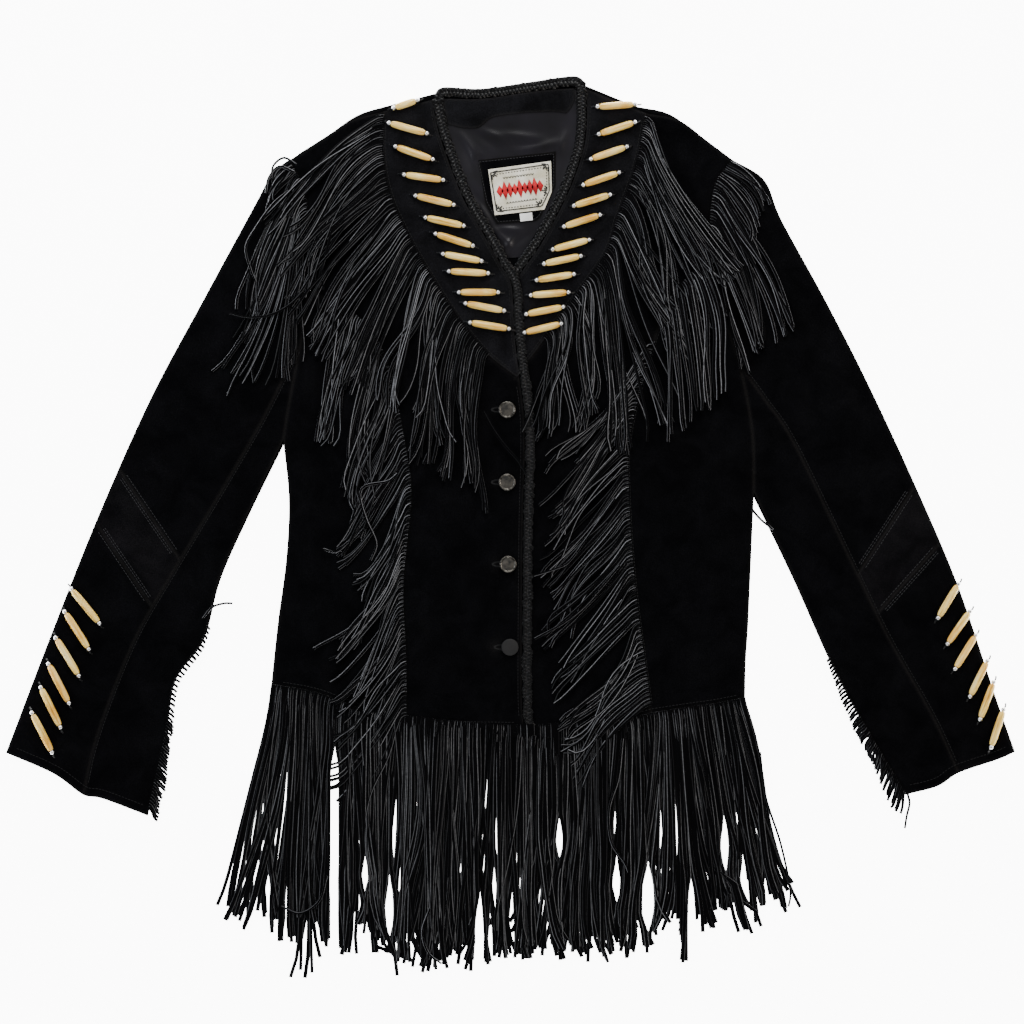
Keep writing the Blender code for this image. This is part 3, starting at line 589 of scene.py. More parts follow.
# The colour sockets of a Mix node by number, because their names repeat
MIX_FACTOR = 0
MIX_A = 6
MIX_B = 7
MIX_RESULT = 2


def add(tree, kind, links=None, values=None, stops=(), **settings):
    """A node with its settings, what feeds its sockets, the values of others, and a ramp's colour stops."""
    made = tree.nodes.new(kind)
    for key, value in settings.items():
        setattr(made, key, value)
    for key, value in (values or {}).items():
        made.inputs[key].default_value = value
    for key, source in (links or {}).items():
        tree.links.new(source, made.inputs[key])
    if stops:
        elements = made.color_ramp.elements
        while len(elements) < len(stops):
            elements.new(0.5)
        for element, (place, code) in zip(elements, stops):
            element.position = place
            element.color = colour(code)
    return made


def finish(name, **sockets):
    """An empty Principled material with these socket values: the material, its tree and its shader."""
    material = bpy.data.materials.new(name)
    material.use_nodes = True
    tree = material.node_tree
    shader = tree.nodes["Principled BSDF"]
    for key, value in sockets.items():
        shader.inputs[key.replace("_", " ")].default_value = value
    return material, tree, shader


def coat(tree, shader, base, relief, strength, depth):
    """Gives the shader its colour, and its fine relief as a bump of this depth in metres."""
    bump = add(tree, "ShaderNodeBump", {"Height": relief}, {"Strength": strength, "Distance": depth})
    tree.links.new(base, shader.inputs["Base Color"])
    tree.links.new(bump.outputs["Normal"], shader.inputs["Normal"])


def split_suede(name, dark, light, worn):
    """Split leather brushed to a short nap: matt, lighter where the nap lies over, rubbed at its edges."""
    material, tree, shader = finish(
        name, Roughness=0.95, Specular_IOR_Level=0.02, Sheen_Weight=0.008, Sheen_Roughness=0.5
    )
    place = {"Vector": add(tree, "ShaderNodeTexCoord").outputs["Object"]}
    # Strokes of the nap about 35 mm across
    long_nap = {"Scale": 28.0, "Detail": 5.0, "Roughness": 0.62, "Distortion": 0.5}
    strokes = add(tree, "ShaderNodeTexNoise", place, long_nap).outputs["Fac"]
    # Fibre tufts about 1.2 mm across, drawn a little coarser than real so that they show
    short_nap = {"Scale": 850.0, "Detail": 3.0, "Roughness": 0.7}
    tufts = add(tree, "ShaderNodeTexNoise", place, short_nap).outputs["Fac"]
    nap = add(tree, "ShaderNodeMath", {0: strokes, 1: tufts}, operation="MULTIPLY").outputs[0]
    base = add(tree, "ShaderNodeValToRGB", {"Fac": nap}, stops=[(0.16, dark), (0.42, light)]).outputs["Color"]
    wear = add(tree, "ShaderNodeAttribute", attribute_name="wear").outputs["Fac"]
    rubbed = add(tree, "ShaderNodeMath", {0: wear, 1: tufts}, operation="MULTIPLY").outputs[0]
    fed = {MIX_FACTOR: rubbed, MIX_A: base}
    mix = add(tree, "ShaderNodeMix", fed, {MIX_B: colour(worn)}, data_type="RGBA")
    coat(tree, shader, mix.outputs[MIX_RESULT], tufts, 0.35, 0.0006)
    return material


def cut_suede(name, face, edge_dark, edge_light):
    """Suede cut into strands: black nap on the faces, and the grey raw fibre of the cut on the two edges.

    The piece's own UV map has u over 1 on the cut edges, and the strand's number in v.
    """
    material, tree, shader = finish(name, Roughness=0.85, Specular_IOR_Level=0.03, Sheen_Weight=0.008)
    uv = add(tree, "ShaderNodeUVMap", uv_map="strand").outputs["UV"]
    split = add(tree, "ShaderNodeSeparateXYZ", {"Vector": uv})
    cut = add(tree, "ShaderNodeMath", {0: split.outputs["X"]}, operation="FLOOR").outputs[0]
    number = add(tree, "ShaderNodeMath", {0: split.outputs["Y"]}, operation="FLOOR").outputs[0]
    tone = add(tree, "ShaderNodeTexWhiteNoise", {"W": number}, noise_dimensions="1D").outputs["Value"]
    place = {"Vector": add(tree, "ShaderNodeTexCoord").outputs["Object"]}
    raw_fibre = {"Scale": 320.0, "Detail": 3.0, "Roughness": 0.7}
    fibre = add(tree, "ShaderNodeTexNoise", place, raw_fibre).outputs["Fac"]
    uneven = add(tree, "ShaderNodeMath", {0: fibre, 1: tone}, operation="MULTIPLY").outputs[0]
    greys = [(0.02, edge_dark), (0.55, edge_light)]
    edge = add(tree, "ShaderNodeValToRGB", {"Fac": uneven}, stops=greys).outputs["Color"]
    mix = add(tree, "ShaderNodeMix", {MIX_FACTOR: cut, MIX_B: edge}, {MIX_A: colour(face)}, data_type="RGBA")
    coat(tree, shader, mix.outputs[MIX_RESULT], fibre, 0.4, 0.0005)
    return material


def smooth_leather(name, base, light):
    """Dyed grain leather lace: a waxed surface with a soft gloss over fine pores."""
    material, tree, shader = finish(name, Roughness=0.36, Specular_IOR_Level=0.2)
    place = {"Vector": add(tree, "ShaderNodeTexCoord").outputs["Object"]}
    pores = add(tree, "ShaderNodeTexNoise", place, {"Scale": 900.0, "Detail": 2.0}).outputs["Fac"]
    shades = [(0.35, base), (0.75, light)]
    mottled_colour = add(tree, "ShaderNodeValToRGB", {"Fac": pores}, stops=shades).outputs["Color"]
    coat(tree, shader, mottled_colour, pores, 0.3, 0.0003)
    return material


def satin_cloth(name, shade, lit):
    """Acetate satin: long floats, so a soft stretched gloss, dark violet-brown, with random blotches of
    painted sheen and painted shade.
    """
    material, tree, shader = finish(
        name, Roughness=0.34, Specular_IOR_Level=0.34, Sheen_Weight=0.01, Anisotropic=0.4
    )
    place = {"Vector": add(tree, "ShaderNodeTexCoord").outputs["Object"]}
    # Large random blotches that pick between the shaded and the lit colour: painted shade and painted sheen
    painted_sheen_mask = add(tree, "ShaderNodeTexNoise", place, {"Scale": 35.0, "Detail": 3.0}).outputs["Fac"]
    # Threads 0.5 mm apart, coarser than the real ones so that they show
    floats = {"Scale": 320.0, "Distortion": 0.6}
    threads = add(tree, "ShaderNodeTexWave", place, floats, bands_direction="DIAGONAL").outputs["Fac"]
    mottled_colour = add(tree, "ShaderNodeValToRGB", {"Fac": painted_sheen_mask}, stops=[(0.3, shade), (0.7, lit)]).outputs["Color"]
    coat(tree, shader, mottled_colour, threads, 0.12, 0.0002)
    return material


def polished_bone(name):
    """Turned and polished bone: cream with tan streaks along the bead, darker where grease has stained it."""
    material, tree, shader = finish(name, Roughness=0.3, Specular_IOR_Level=0.5)
    uv = add(tree, "ShaderNodeUVMap", uv_map="turned").outputs["UV"]
    stretched = add(tree, "ShaderNodeMapping", {"Vector": uv}, {"Scale": (9.0, 1.6, 1.0)}).outputs[0]
    grain = {"Scale": 1.0, "Detail": 5.0, "Roughness": 0.6}
    streaks = add(tree, "ShaderNodeTexNoise", {"Vector": stretched}, grain).outputs["Fac"]
    place = {"Vector": add(tree, "ShaderNodeTexCoord").outputs["Object"]}
    stain = add(tree, "ShaderNodeTexNoise", place, {"Scale": 45.0, "Detail": 2.0}).outputs["Fac"]
    creams = [(0.28, "#ab7618"), (0.42, "#f0c65c"), (0.54, "#fee08a"), (0.75, "#fff5cc")]
    base = add(tree, "ShaderNodeValToRGB", {"Fac": streaks}, stops=creams).outputs["Color"]
    stains = [(0.36, "#efcf8a"), (0.56, "#fffdf0")]
    tint = add(tree, "ShaderNodeValToRGB", {"Fac": stain}, stops=stains).outputs["Color"]
    stained = {"data_type": "RGBA", "blend_type": "MULTIPLY"}
    mix = add(tree, "ShaderNodeMix", {MIX_A: base, MIX_B: tint}, {MIX_FACTOR: 0.8}, **stained)
    coat(tree, shader, mix.outputs[MIX_RESULT], streaks, 0.2, 0.0003)
    return material


def plated_metal(name, base, dull, roughness):
    """Cast white metal: bright where it is rubbed and duller in its pits."""
    material, tree, shader = finish(name, Metallic=1.0, Roughness=roughness)
    place = {"Vector": add(tree, "ShaderNodeTexCoord").outputs["Object"]}
    pits = add(tree, "ShaderNodeTexNoise", place, {"Scale": 500.0, "Detail": 4.0}).outputs["Fac"]
    plate = add(tree, "ShaderNodeValToRGB", {"Fac": pits}, stops=[(0.35, dull), (0.6, base)]).outputs["Color"]
    coat(tree, shader, plate, pits, 0.25, 0.0002)
    return material


def dull_coat(name, dark, light, roughness=0.55, scale=160.0):
    """A dull surface with rubbed lighter patches, as on an old button's face or on twisted thread."""
    material, tree, shader = finish(name, Roughness=roughness, Specular_IOR_Level=0.4)
    place = {"Vector": add(tree, "ShaderNodeTexCoord").outputs["Object"]}
    rubbing = {"Scale": scale, "Detail": 5.0, "Roughness": 0.65}
    patches = add(tree, "ShaderNodeTexNoise", place, rubbing).outputs["Fac"]
    shades = [(0.35, dark), (0.65, light)]
    base = add(tree, "ShaderNodeValToRGB", {"Fac": patches}, stops=shades).outputs["Color"]
    coat(tree, shader, base, patches, 0.2, 0.0003)
    return material


def woven_label(name, dark, light):
    """Woven polyester: crossed threads 0.6 mm apart, aged unevenly."""
    material, tree, shader = finish(name, Roughness=0.7, Specular_IOR_Level=0.3, Sheen_Weight=0.1)
    place = {"Vector": add(tree, "ShaderNodeTexCoord").outputs["Object"]}
    across = add(tree, "ShaderNodeTexWave", place, {"Scale": 260.0}, bands_direction="X").outputs["Fac"]
    along = add(tree, "ShaderNodeTexWave", place, {"Scale": 260.0}, bands_direction="Y").outputs["Fac"]
    weave = add(tree, "ShaderNodeMath", {0: across, 1: along}, operation="MULTIPLY").outputs[0]
    age = add(tree, "ShaderNodeTexNoise", place, {"Scale": 70.0, "Detail": 4.0}).outputs["Fac"]
    base = add(tree, "ShaderNodeValToRGB", {"Fac": age}, stops=[(0.35, dark), (0.62, light)]).outputs["Color"]
    coat(tree, shader, base, weave, 0.35, 0.0003)
    return material


SUEDE = split_suede("split_suede_black", "#030304", "#0c0c0e", "#3c3a37")
SUEDE_YOKE = split_suede("split_suede_yoke", "#09090a", "#1b1b1e", "#3c3a37")
SUEDE_BAND = split_suede("split_suede_worn", "#060607", "#151416", "#3c3a37")
STRANDS = cut_suede("cut_suede_strand", "#050506", "#1a1b1c", "#7f8083")
HEM_STRANDS = cut_suede("cut_suede_hem_strand", "#040405", "#131314", "#5f6062")
LACE = smooth_leather("waxed_leather_lace", "#020202", "#08080a")
# The satin's shaded and lit colours, laid in random blotches as painted shade and painted sheen
SATIN = satin_cloth("acetate_satin", "#0b0a0d", "#16141a")
BONE = polished_bone("polished_bone")
SILVER = plated_metal("silver_plate", "#ffffff", "#d9d8d4", 0.3)
PEWTER = plated_metal("pewter_rim", "#6b6862", "#2b2926", 0.4)
PEWTER_FACE = dull_coat("worn_button_face", "#0b0a07", "#45413a", scale=110.0)
BUTTON_PLASTIC = dull_coat("matt_black_plastic", "#0b0b0b", "#131212", 0.75)
THREAD = dull_coat("black_thread", "#101011", "#2a2a2d", 0.8, 900.0)
SEAM_THREAD = dull_coat("seam_thread", "#040405", "#0b0b0c", 0.9, 900.0)
LABEL_CLOTH = woven_label("woven_label_cream", "#c6c0a6", "#ebe7d7")
WHITE_TAPE = woven_label("woven_tape_white", "#d8d8d4", "#f4f4f0")
RED_THREAD = woven_label("embroidery_red", "#a00f18", "#d51f28")
INK_THREAD = woven_label("embroidery_ink", "#141412", "#2c2b28")


def mesh_piece(name, points, quads, material, slot, uv=None, uv_name="strand", clean=0.0, flat_over=50):
    """A mesh of four-sided faces from arrays, moved to the part's origin and turned to metres."""
    mesh = bpy.data.meshes.new(name)
    points = (np.asarray(points, float).reshape(-1, 3) - CENTRE) * MM
    quads = np.asarray(quads).reshape(-1, 4)
    mesh.vertices.add(len(points))
    mesh.vertices.foreach_set("co", points.ravel())
    mesh.loops.add(quads.size)
    mesh.loops.foreach_set("vertex_index", quads.ravel().astype(np.int32))
    mesh.polygons.add(len(quads))
    mesh.polygons.foreach_set("loop_start", np.arange(len(quads), dtype=np.int32) * 4)
    mesh.update(calc_edges=True)
    if uv is not None:
        layer = mesh.uv_layers.new(name=uv_name)
        layer.data.foreach_set("uv", np.asarray(uv, float).ravel())
    mesh.materials.append(material)
    if clean:
        bm = bmesh.new()
        bm.from_mesh(mesh)
        bmesh.ops.remove_doubles(bm, verts=bm.verts, dist=clean * MM)
        bmesh.ops.dissolve_degenerate(bm, edges=bm.edges, dist=0.2 * clean * MM)
        bm.to_mesh(mesh)
        bm.free()
    mesh.validate()
    mesh.shade_smooth()
    mesh.set_sharp_from_angle(angle=math.radians(flat_over))
    obj = bpy.data.objects.new(name, mesh)
    bpy.context.scene.collection.objects.link(obj)
    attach(obj, "root")
    return obj


def grid_quads(rows, columns, wrap=False):
    """Faces of a grid of points, counted row by row; wrap joins the last column to the first."""
    r, c = np.meshgrid(np.arange(rows - 1), np.arange(columns if wrap else columns - 1), indexing="ij")
    here, below, after = r * columns, (r + 1) * columns, (c + 1) % columns
    return np.stack([here + c, here + after, below + after, below + c], -1).reshape(-1, 4)


def along_index(line, shares):
    """Points at these shares of a line's count of points, so that two seams cut alike stay in step."""
    where = np.asarray(shares) * (len(line) - 1)
    return np.stack([np.interp(where, np.arange(len(line)), line[:, i]) for i in (0, 1)], axis=-1)


def even_but_close_at_ends(count):
    """Shares from 0 to 1 for a grid: even, with three close ones at each end for the rolled edge."""
    step = 1 / count
    near = np.array([0, 0.18, 0.42, 0.7]) * step
    return np.concatenate([near, np.linspace(step, 1 - step, count - 1), 1 - near[::-1]])


def coons(start, end, top, bottom, rows, columns):
    """Points between two side lines, bent to the top and bottom lines, which may be None for straight ones.

    With u across and v down: (1 - u) start(v) + u end(v), plus (1 - v)^2 of the top line's departure from the
    straight between its ends, plus v^2 of the bottom line's.
    """
    v_shares, u_shares = even_but_close_at_ends(rows), even_but_close_at_ends(columns)
    start, end = along_index(start, v_shares), along_index(end, v_shares)
    u, v = u_shares[None, :, None], v_shares[:, None, None]
    points = (1 - u) * start[:, None] + u * end[:, None]
    for line, row, share in ((top, 0, 1 - v), (bottom, -1, v)):
        if line is not None:
            straight = (1 - u[0]) * start[row] + u[0] * end[row]
            points = points + share**2 * (along_index(line, u_shares) - straight)[None]
    return points


def rim_of(points):
    """The closed border line of a grid of points."""
    return np.vstack([points[0], points[1:, -1], points[-1, ::-1][1:], points[::-1, 0][1:]])


def shell(name, node, grid, height, material, slot, wall=SHELL, wear=None):
    """A sheet of cloth: a grid of x, y lifted to height(x, y), then given its wall downward by Solidify."""
    rows, columns = grid.shape[:2]
    plan = grid.reshape(-1, 2)
    points = np.column_stack([plan, height(plan)])
    middle = grid[rows // 2, columns // 2]
    across = grid[rows // 2, columns // 2 + 1] - middle
    down = grid[rows // 2 + 1, columns // 2] - middle
    quads = grid_quads(rows, columns)
    if across[0] * down[1] - across[1] * down[0] < 0:
        quads = quads[:, ::-1]
    obj = mesh_piece(name, points, quads, material, slot, clean=0.02)
    worn = np.zeros(len(obj.data.vertices))
    if wear is not None:
        place = np.zeros(len(obj.data.vertices) * 3)
        obj.data.vertices.foreach_get("co", place)
        worn = wear(place.reshape(-1, 3)[:, :2] / MM + CENTRE[:2])
    obj.data.attributes.new("wear", "FLOAT", "POINT").data.foreach_set("value", worn)
    solidify = obj.modifiers.new("Wall", "SOLIDIFY")
    solidify.thickness = wall * MM
    solidify.offset = -1
    solidify.use_rim = True
    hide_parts(node)
    return obj


def rolled(grid, amount=ROLL):
    """How far the cloth drops to its seams: amount times exp(-(distance to the rim / reach)^2)."""
    rim = rim_of(grid)

    def drop(plan):
        return amount * np.exp(-((distance_to(plan, rim) / ROLL_REACH) ** 2))

    return drop


# Rubbed nap: columns x, y, radius, strength
WORN_SPOTS = [(-14, -39, 6, 0.14), (-15, -126, 7, 0.16), (-14, 123, 6, 0.06), (-14, 47, 6, 0.08)]


def wear_of(grid):
    """Where the nap is rubbed: a little along the rim, and round the buttonholes."""
    rim = rim_of(grid)

    def worn(plan):
        total = 0.22 * np.exp(-((distance_to(plan, rim) / 1.8) ** 2))
        for x, y, radius, strength in WORN_SPOTS:
            total = total + strength * np.exp(-(((plan[:, 0] - x) ** 2 + (plan[:, 1] - y) ** 2) / radius**2))
        return total

    return worn


sheets = {}


def panel(name, start, end, top, bottom, side, rows, columns, wall=WALL, material=SUEDE, slot="suede"):
    """One cut piece of the front or a sleeve between its seams, on the height that its solid has."""
    grid = coons(start, end, top, bottom, rows, columns)
    drop = rolled(grid, YOKE_ROLL if wall > WALL else ROLL)

    def height(plan):
        return heights(plan, side, fine=True) + wall - drop(plan)

    obj = shell(f"cloth_{name}", name, grid, height, material, slot, SHELL, wear_of(grid))
    sheets[name] = (obj, rim_of(grid))


def body_panels(side):
    """Yoke, centre front and side front, which meet at the yoke seam and the princess seam."""
    outer = join(side.shoulder_out, side.arm_top, side.princess)
    inner = join(side.yoke, side.edge[YOKE_ROWS:])
    panel(f"front_{side.name}_centre", outer, inner, None, side.hem_centre, side, 150, 38)
    outer = join(side.arm_middle, side.arm_low, side.side)
    panel(f"front_{side.name}_side", outer, side.princess, None, side.hem_side, side, 110, 34)
    edge = side.edge[: YOKE_ROWS + 1]
    tip = np.repeat(side.yoke[-1:], SHOULDER_IN + 1, axis=0)
    panel(f"yoke_{side.name}", edge, side.yoke, side.shoulder_in, tip, side, 90, 18, YOKE_WALL, SUEDE_YOKE)


def sleeve_panels(side):
    """Upper arm, elbow band and forearm outside the sleeve seam, and the narrow panel inside it."""
    name, table = f"sleeve_{side.name}", side.table
    outer, seam = smooth(table["sleeve_out"]), smooth(table["sleeve_seam"])
    cuff, inner = smooth(table["cuff"]), smooth(table["sleeve_in"])
    (out_a, out_b), (seam_a, seam_b) = table["band_outer"], table["band_seam"]
    head = join(side.arm_top, side.arm_middle)
    cuff_outer = at(cuff, np.linspace(0, side.cuff_split, len(head)))
    seam_line = []
    parts = [
        ("upper", 0, out_a, 0, seam_a, 11, 66),
        ("band", out_a, out_b, seam_a, seam_b, 3, 14),
        ("forearm", out_b, 1, seam_b, 1, 9, 56),
    ]
    for part, out_start, out_end, seam_start, seam_end, cuts, rows in parts:
        start = at(outer, np.linspace(out_start, out_end, cuts * DENSE + 1))
        end = at(seam, np.linspace(seam_start, seam_end, cuts * DENSE + 1))
        top = head if part == "upper" else np.linspace(start[0], end[0], len(head))
        bottom = cuff_outer if part == "forearm" else None
        worn = (SUEDE_BAND, "suede_worn") if part == "band" else (SUEDE, "suede")
        panel(f"{name}_{part}", start, end, top, bottom, side, rows, 28, WALL, *worn)
        seam_line.append(end)
    seam_line = join(*seam_line)
    seam_line[-1] = cuff_outer[-1]
    end = at(inner, np.linspace(0, 1, len(seam_line)))
    bottom = at(cuff, np.linspace(side.cuff_split, 1, len(side.arm_low)))
    panel(f"{name}_inner", seam_line, end, side.arm_low, bottom, side, 120, 14)
    outer, inner = samples(table["sleeve_out"], SLEEVE_ROWS), samples(table["sleeve_in"], SLEEVE_ROWS)
    head = offset(side.armhole, -LAPPED * side.out)
    under = coons(outer, inner, head, samples(table["cuff"], SLEEVE_ROWS), 70, 24)
    level_sheet(f"{name}_under", under, BACK_TOP - 0.15, BACK_TOP - 0.5, SUEDE, "suede")


def level_sheet(name, grid, top, wall, material, slot, rise=None):
    """A sheet that lies level at a height, with an optional rise of its own."""
    drop = rolled(grid, 0.3 * min(wall, 1.0))

    def height(plan):
        return top - drop(plan) + (rise(plan) if rise else 0)

    obj = shell(f"cloth_{name}", name, grid, height, material, slot, wall, wear_of(grid))
    sheets[name] = (obj, rim_of(grid))
    return obj


def back_panel():
    """The whole back, flat on the floor, from the neck lacing to the hem."""
    neck = offset(samples(NECK_LACING, 40), LAPPED)
    halves = [join(side.shoulder_in, side.shoulder_out, side.armhole, side.side) for side in (right, left)]
    hem = offset(samples(BACK_HEM, 40), -LAPPED)
    grid = coons(halves[0], halves[1], neck, hem, 90, 60)
    level_sheet("back", grid, BACK_TOP, BACK_TOP - 0.35, SUEDE, "suede")


def neck_pieces():
    """Satin with its soft folds, back neck facing, the patch with its label and size tab."""
    v_right, v_left = (smooth(side.table["lacing_v"]) for side in (right, left))
    low_right, low_left = (at(line, np.linspace(0.02, 0.68, 60)) for line in (v_right, v_left))
    low_right, low_left = (line[line[:, 1] > 281] for line in (low_right, low_left))
    top = offset(samples(NECK_LACING, 60), -BRAID_EDGE)
    start = at(np.vstack([top[:1], low_right]), np.linspace(0, 1, 80))
    end = at(np.vstack([top[-1:], low_left]), np.linspace(0, 1, 80))
    grid = coons(start, end, top, None, 80, 60)

    def folds(plan):
        open_share = ease((424 - plan[:, 1]) / 14)
        patch = np.vstack([PATCH_CORNERS, PATCH_CORNERS[:1]]).astype(float)
        near = distance_to(plan, patch)
        near[inside(plan, patch)] = 0
        return -troughs(plan, SATIN_FOLDS) * open_share * ease(near / 6)

    level_sheet("lining", grid, LINING_TOP, 0.5, SATIN, "satin", folds)
    inner_right = offset(at(v_right, np.linspace(0.01, 0.09, 3)), BRAID_EDGE)
    inner_left = offset(at(v_left, np.linspace(0.03, 0.09, 3)), -BRAID_EDGE)
    low = join(inner_right[-1:], samples(FACING_LOWER, 40)[1:-1], inner_left[-1:])
    start, end = np.vstack([top[:1], inner_right]), np.vstack([top[-1:], inner_left])
    grid = coons(at(start, np.linspace(0, 1, 20)), at(end, np.linspace(0, 1, 20)), top, low, 12, 44)
    level_sheet("neck_facing", grid, FACING_TOP, 1.2, SUEDE_YOKE, "suede")
    grid = polygon_grid(PATCH_CORNERS, (0, 1, 4, 5))
    level_sheet("label_patch", grid, PATCH_TOP, 1.1, SUEDE, "suede_worn")
    grid = polygon_grid(LABEL_CORNERS, (0, 1, 3, 4))
    level_sheet("label", grid, LABEL_LOW + 0.5, 0.5, LABEL_CLOTH, "label_cloth")
    grid = polygon_grid(TAB_CORNERS, (0, 1, 2, 3))
    tab = level_sheet("size_tab", grid, LABEL_LOW + 0.4, 0.4, WHITE_TAPE, "label_cloth")
    del sheets["size_tab"]
    return tab


def polygon_grid(corners, four):
    """A grid inside a polygon with straight sides; four are its corner numbers at the grid's own corners."""
    corners = np.array(corners, float)
    a, b, c, d = four
    top = corners[a : b + 1]
    end = corners[b : c + 1]
    bottom = corners[c : d + 1][::-1]
    start = np.vstack([corners[:1], corners[d:][::-1]]) if a == 0 else corners[d:]
    shares = np.linspace(0, 1, 40)
    return coons(at(start, shares), at(end, shares), at(top, shares), at(bottom, shares), 24, 24)


def carried(paths, profile, roll=0.0):
    """A closed profile carried along each path: point = path + across * side + rise * lift.

    The roll turns it about the path. paths is (paths, points, 3), and profile is (sides, 2) or
    (paths, points, sides, 2) in across and rise.
    """
    tangent = np.gradient(paths, axis=1)
    tangent /= np.maximum(np.linalg.norm(tangent, axis=2, keepdims=True), 1e-9)
    side = np.cross(tangent, [0.0, 0.0, 1.0])
    side /= np.maximum(np.linalg.norm(side, axis=2, keepdims=True), 1e-9)
    lift = np.cross(side, tangent)
    turn = np.broadcast_to(roll, paths.shape[:2])[..., None]
    across = profile[..., 0] * np.cos(turn) - profile[..., 1] * np.sin(turn)
    rise = profile[..., 0] * np.sin(turn) + profile[..., 1] * np.cos(turn)
    return paths[:, :, None] + across[..., None] * side[:, :, None] + rise[..., None] * lift[:, :, None]


def carried_quads(count, rings, sides):
    """Faces of many closed tubes, with each end closed by a strip of quads."""
    tube = grid_quads(rings, sides, wrap=True)[:, ::-1]
    half = np.arange(sides // 2 - 1)
    cap = np.stack([half, half + 1, sides - 2 - half, sides - 1 - half], -1)
    one = np.vstack([tube, cap, cap[:, ::-1] + (rings - 1) * sides])
    return (one[None] + (np.arange(count) * rings * sides)[:, None, None]).reshape(-1, 4)


def strand_uv(count, rings, cut):
    """u is 0 to 1 on a nap face, 1 to 2 on a cut edge; v is the strand's number plus its share of length."""
    sides = len(cut)
    r, s = np.meshgrid(np.arange(rings - 1), np.arange(sides), indexing="ij")
    r, s = r.ravel(), s.ravel()
    kind = np.array(cut)[s]
    v0, v1 = r / (rings - 1) * 0.98, (r + 1) / (rings - 1) * 0.98
    corners = [(kind + 0.1, v1), (kind + 0.9, v1), (kind + 0.9, v0), (kind + 0.1, v0)]
    tube = np.stack([np.stack(corner, -1) for corner in corners], axis=1)
    caps = np.full((2 * (sides // 2 - 1), 4, 2), 0.5)
    caps[..., 0] = 1.5
    one = np.vstack([tube, caps])
    numbers = np.zeros((count, 1, 1, 2))
    numbers[:, 0, 0, 1] = np.arange(count)
    return (one[None] + numbers).reshape(-1, 2)


def ground(points):
    """What a loose strand lies on: the cloth's upper face, and the floor a little beyond its edge."""
    near = np.zeros(len(points))
    over = inside(points, OUTLINE)
    near[~over] = distance_to(points[~over], OUTLINE) if (~over).any() else 0
    edge_x = np.interp(points[:, 1], right.lacing[::-1, 1], right.lacing[::-1, 0]) + BRAID_HALF
    on_right = points[:, 0] < edge_x
    cloth = np.where(on_right, heights(points, right), heights(points, left)) + WALL
    return 0.3 + (cloth - 0.3) * (1 - ease(near / 14))


def bunches(rng, count):
    """Each strand's bunch number: neighbours lie together in bunches of four to nine."""
    sizes = rng.integers(4, 10, count)
    return np.repeat(np.arange(count), sizes)[:count]


def part(plan):
    """Strands pushed apart at each gap: x = gap +- sqrt(distance^2 + (half width * share of opening)^2)."""
    rows = np.arange(len(plan))
    for x, top, bottom, half in PARTINGS:
        at_top = plan[rows, np.abs(plan[..., 1] - top + GAP_SIDE_AT).argmin(axis=1), 0]
        sign = np.where(at_top < x, -1.0, 1.0)[:, None]
        opening = half * ease((top - plan[..., 1]) / GAP_OPENS) * ease((plan[..., 1] - bottom) / GAP_CLOSES)
        pushed = x + sign * np.sqrt((plan[..., 0] - x) ** 2 + opening**2)
        plan[..., 0] = np.where(opening > 0, pushed, plan[..., 0])
    return plan


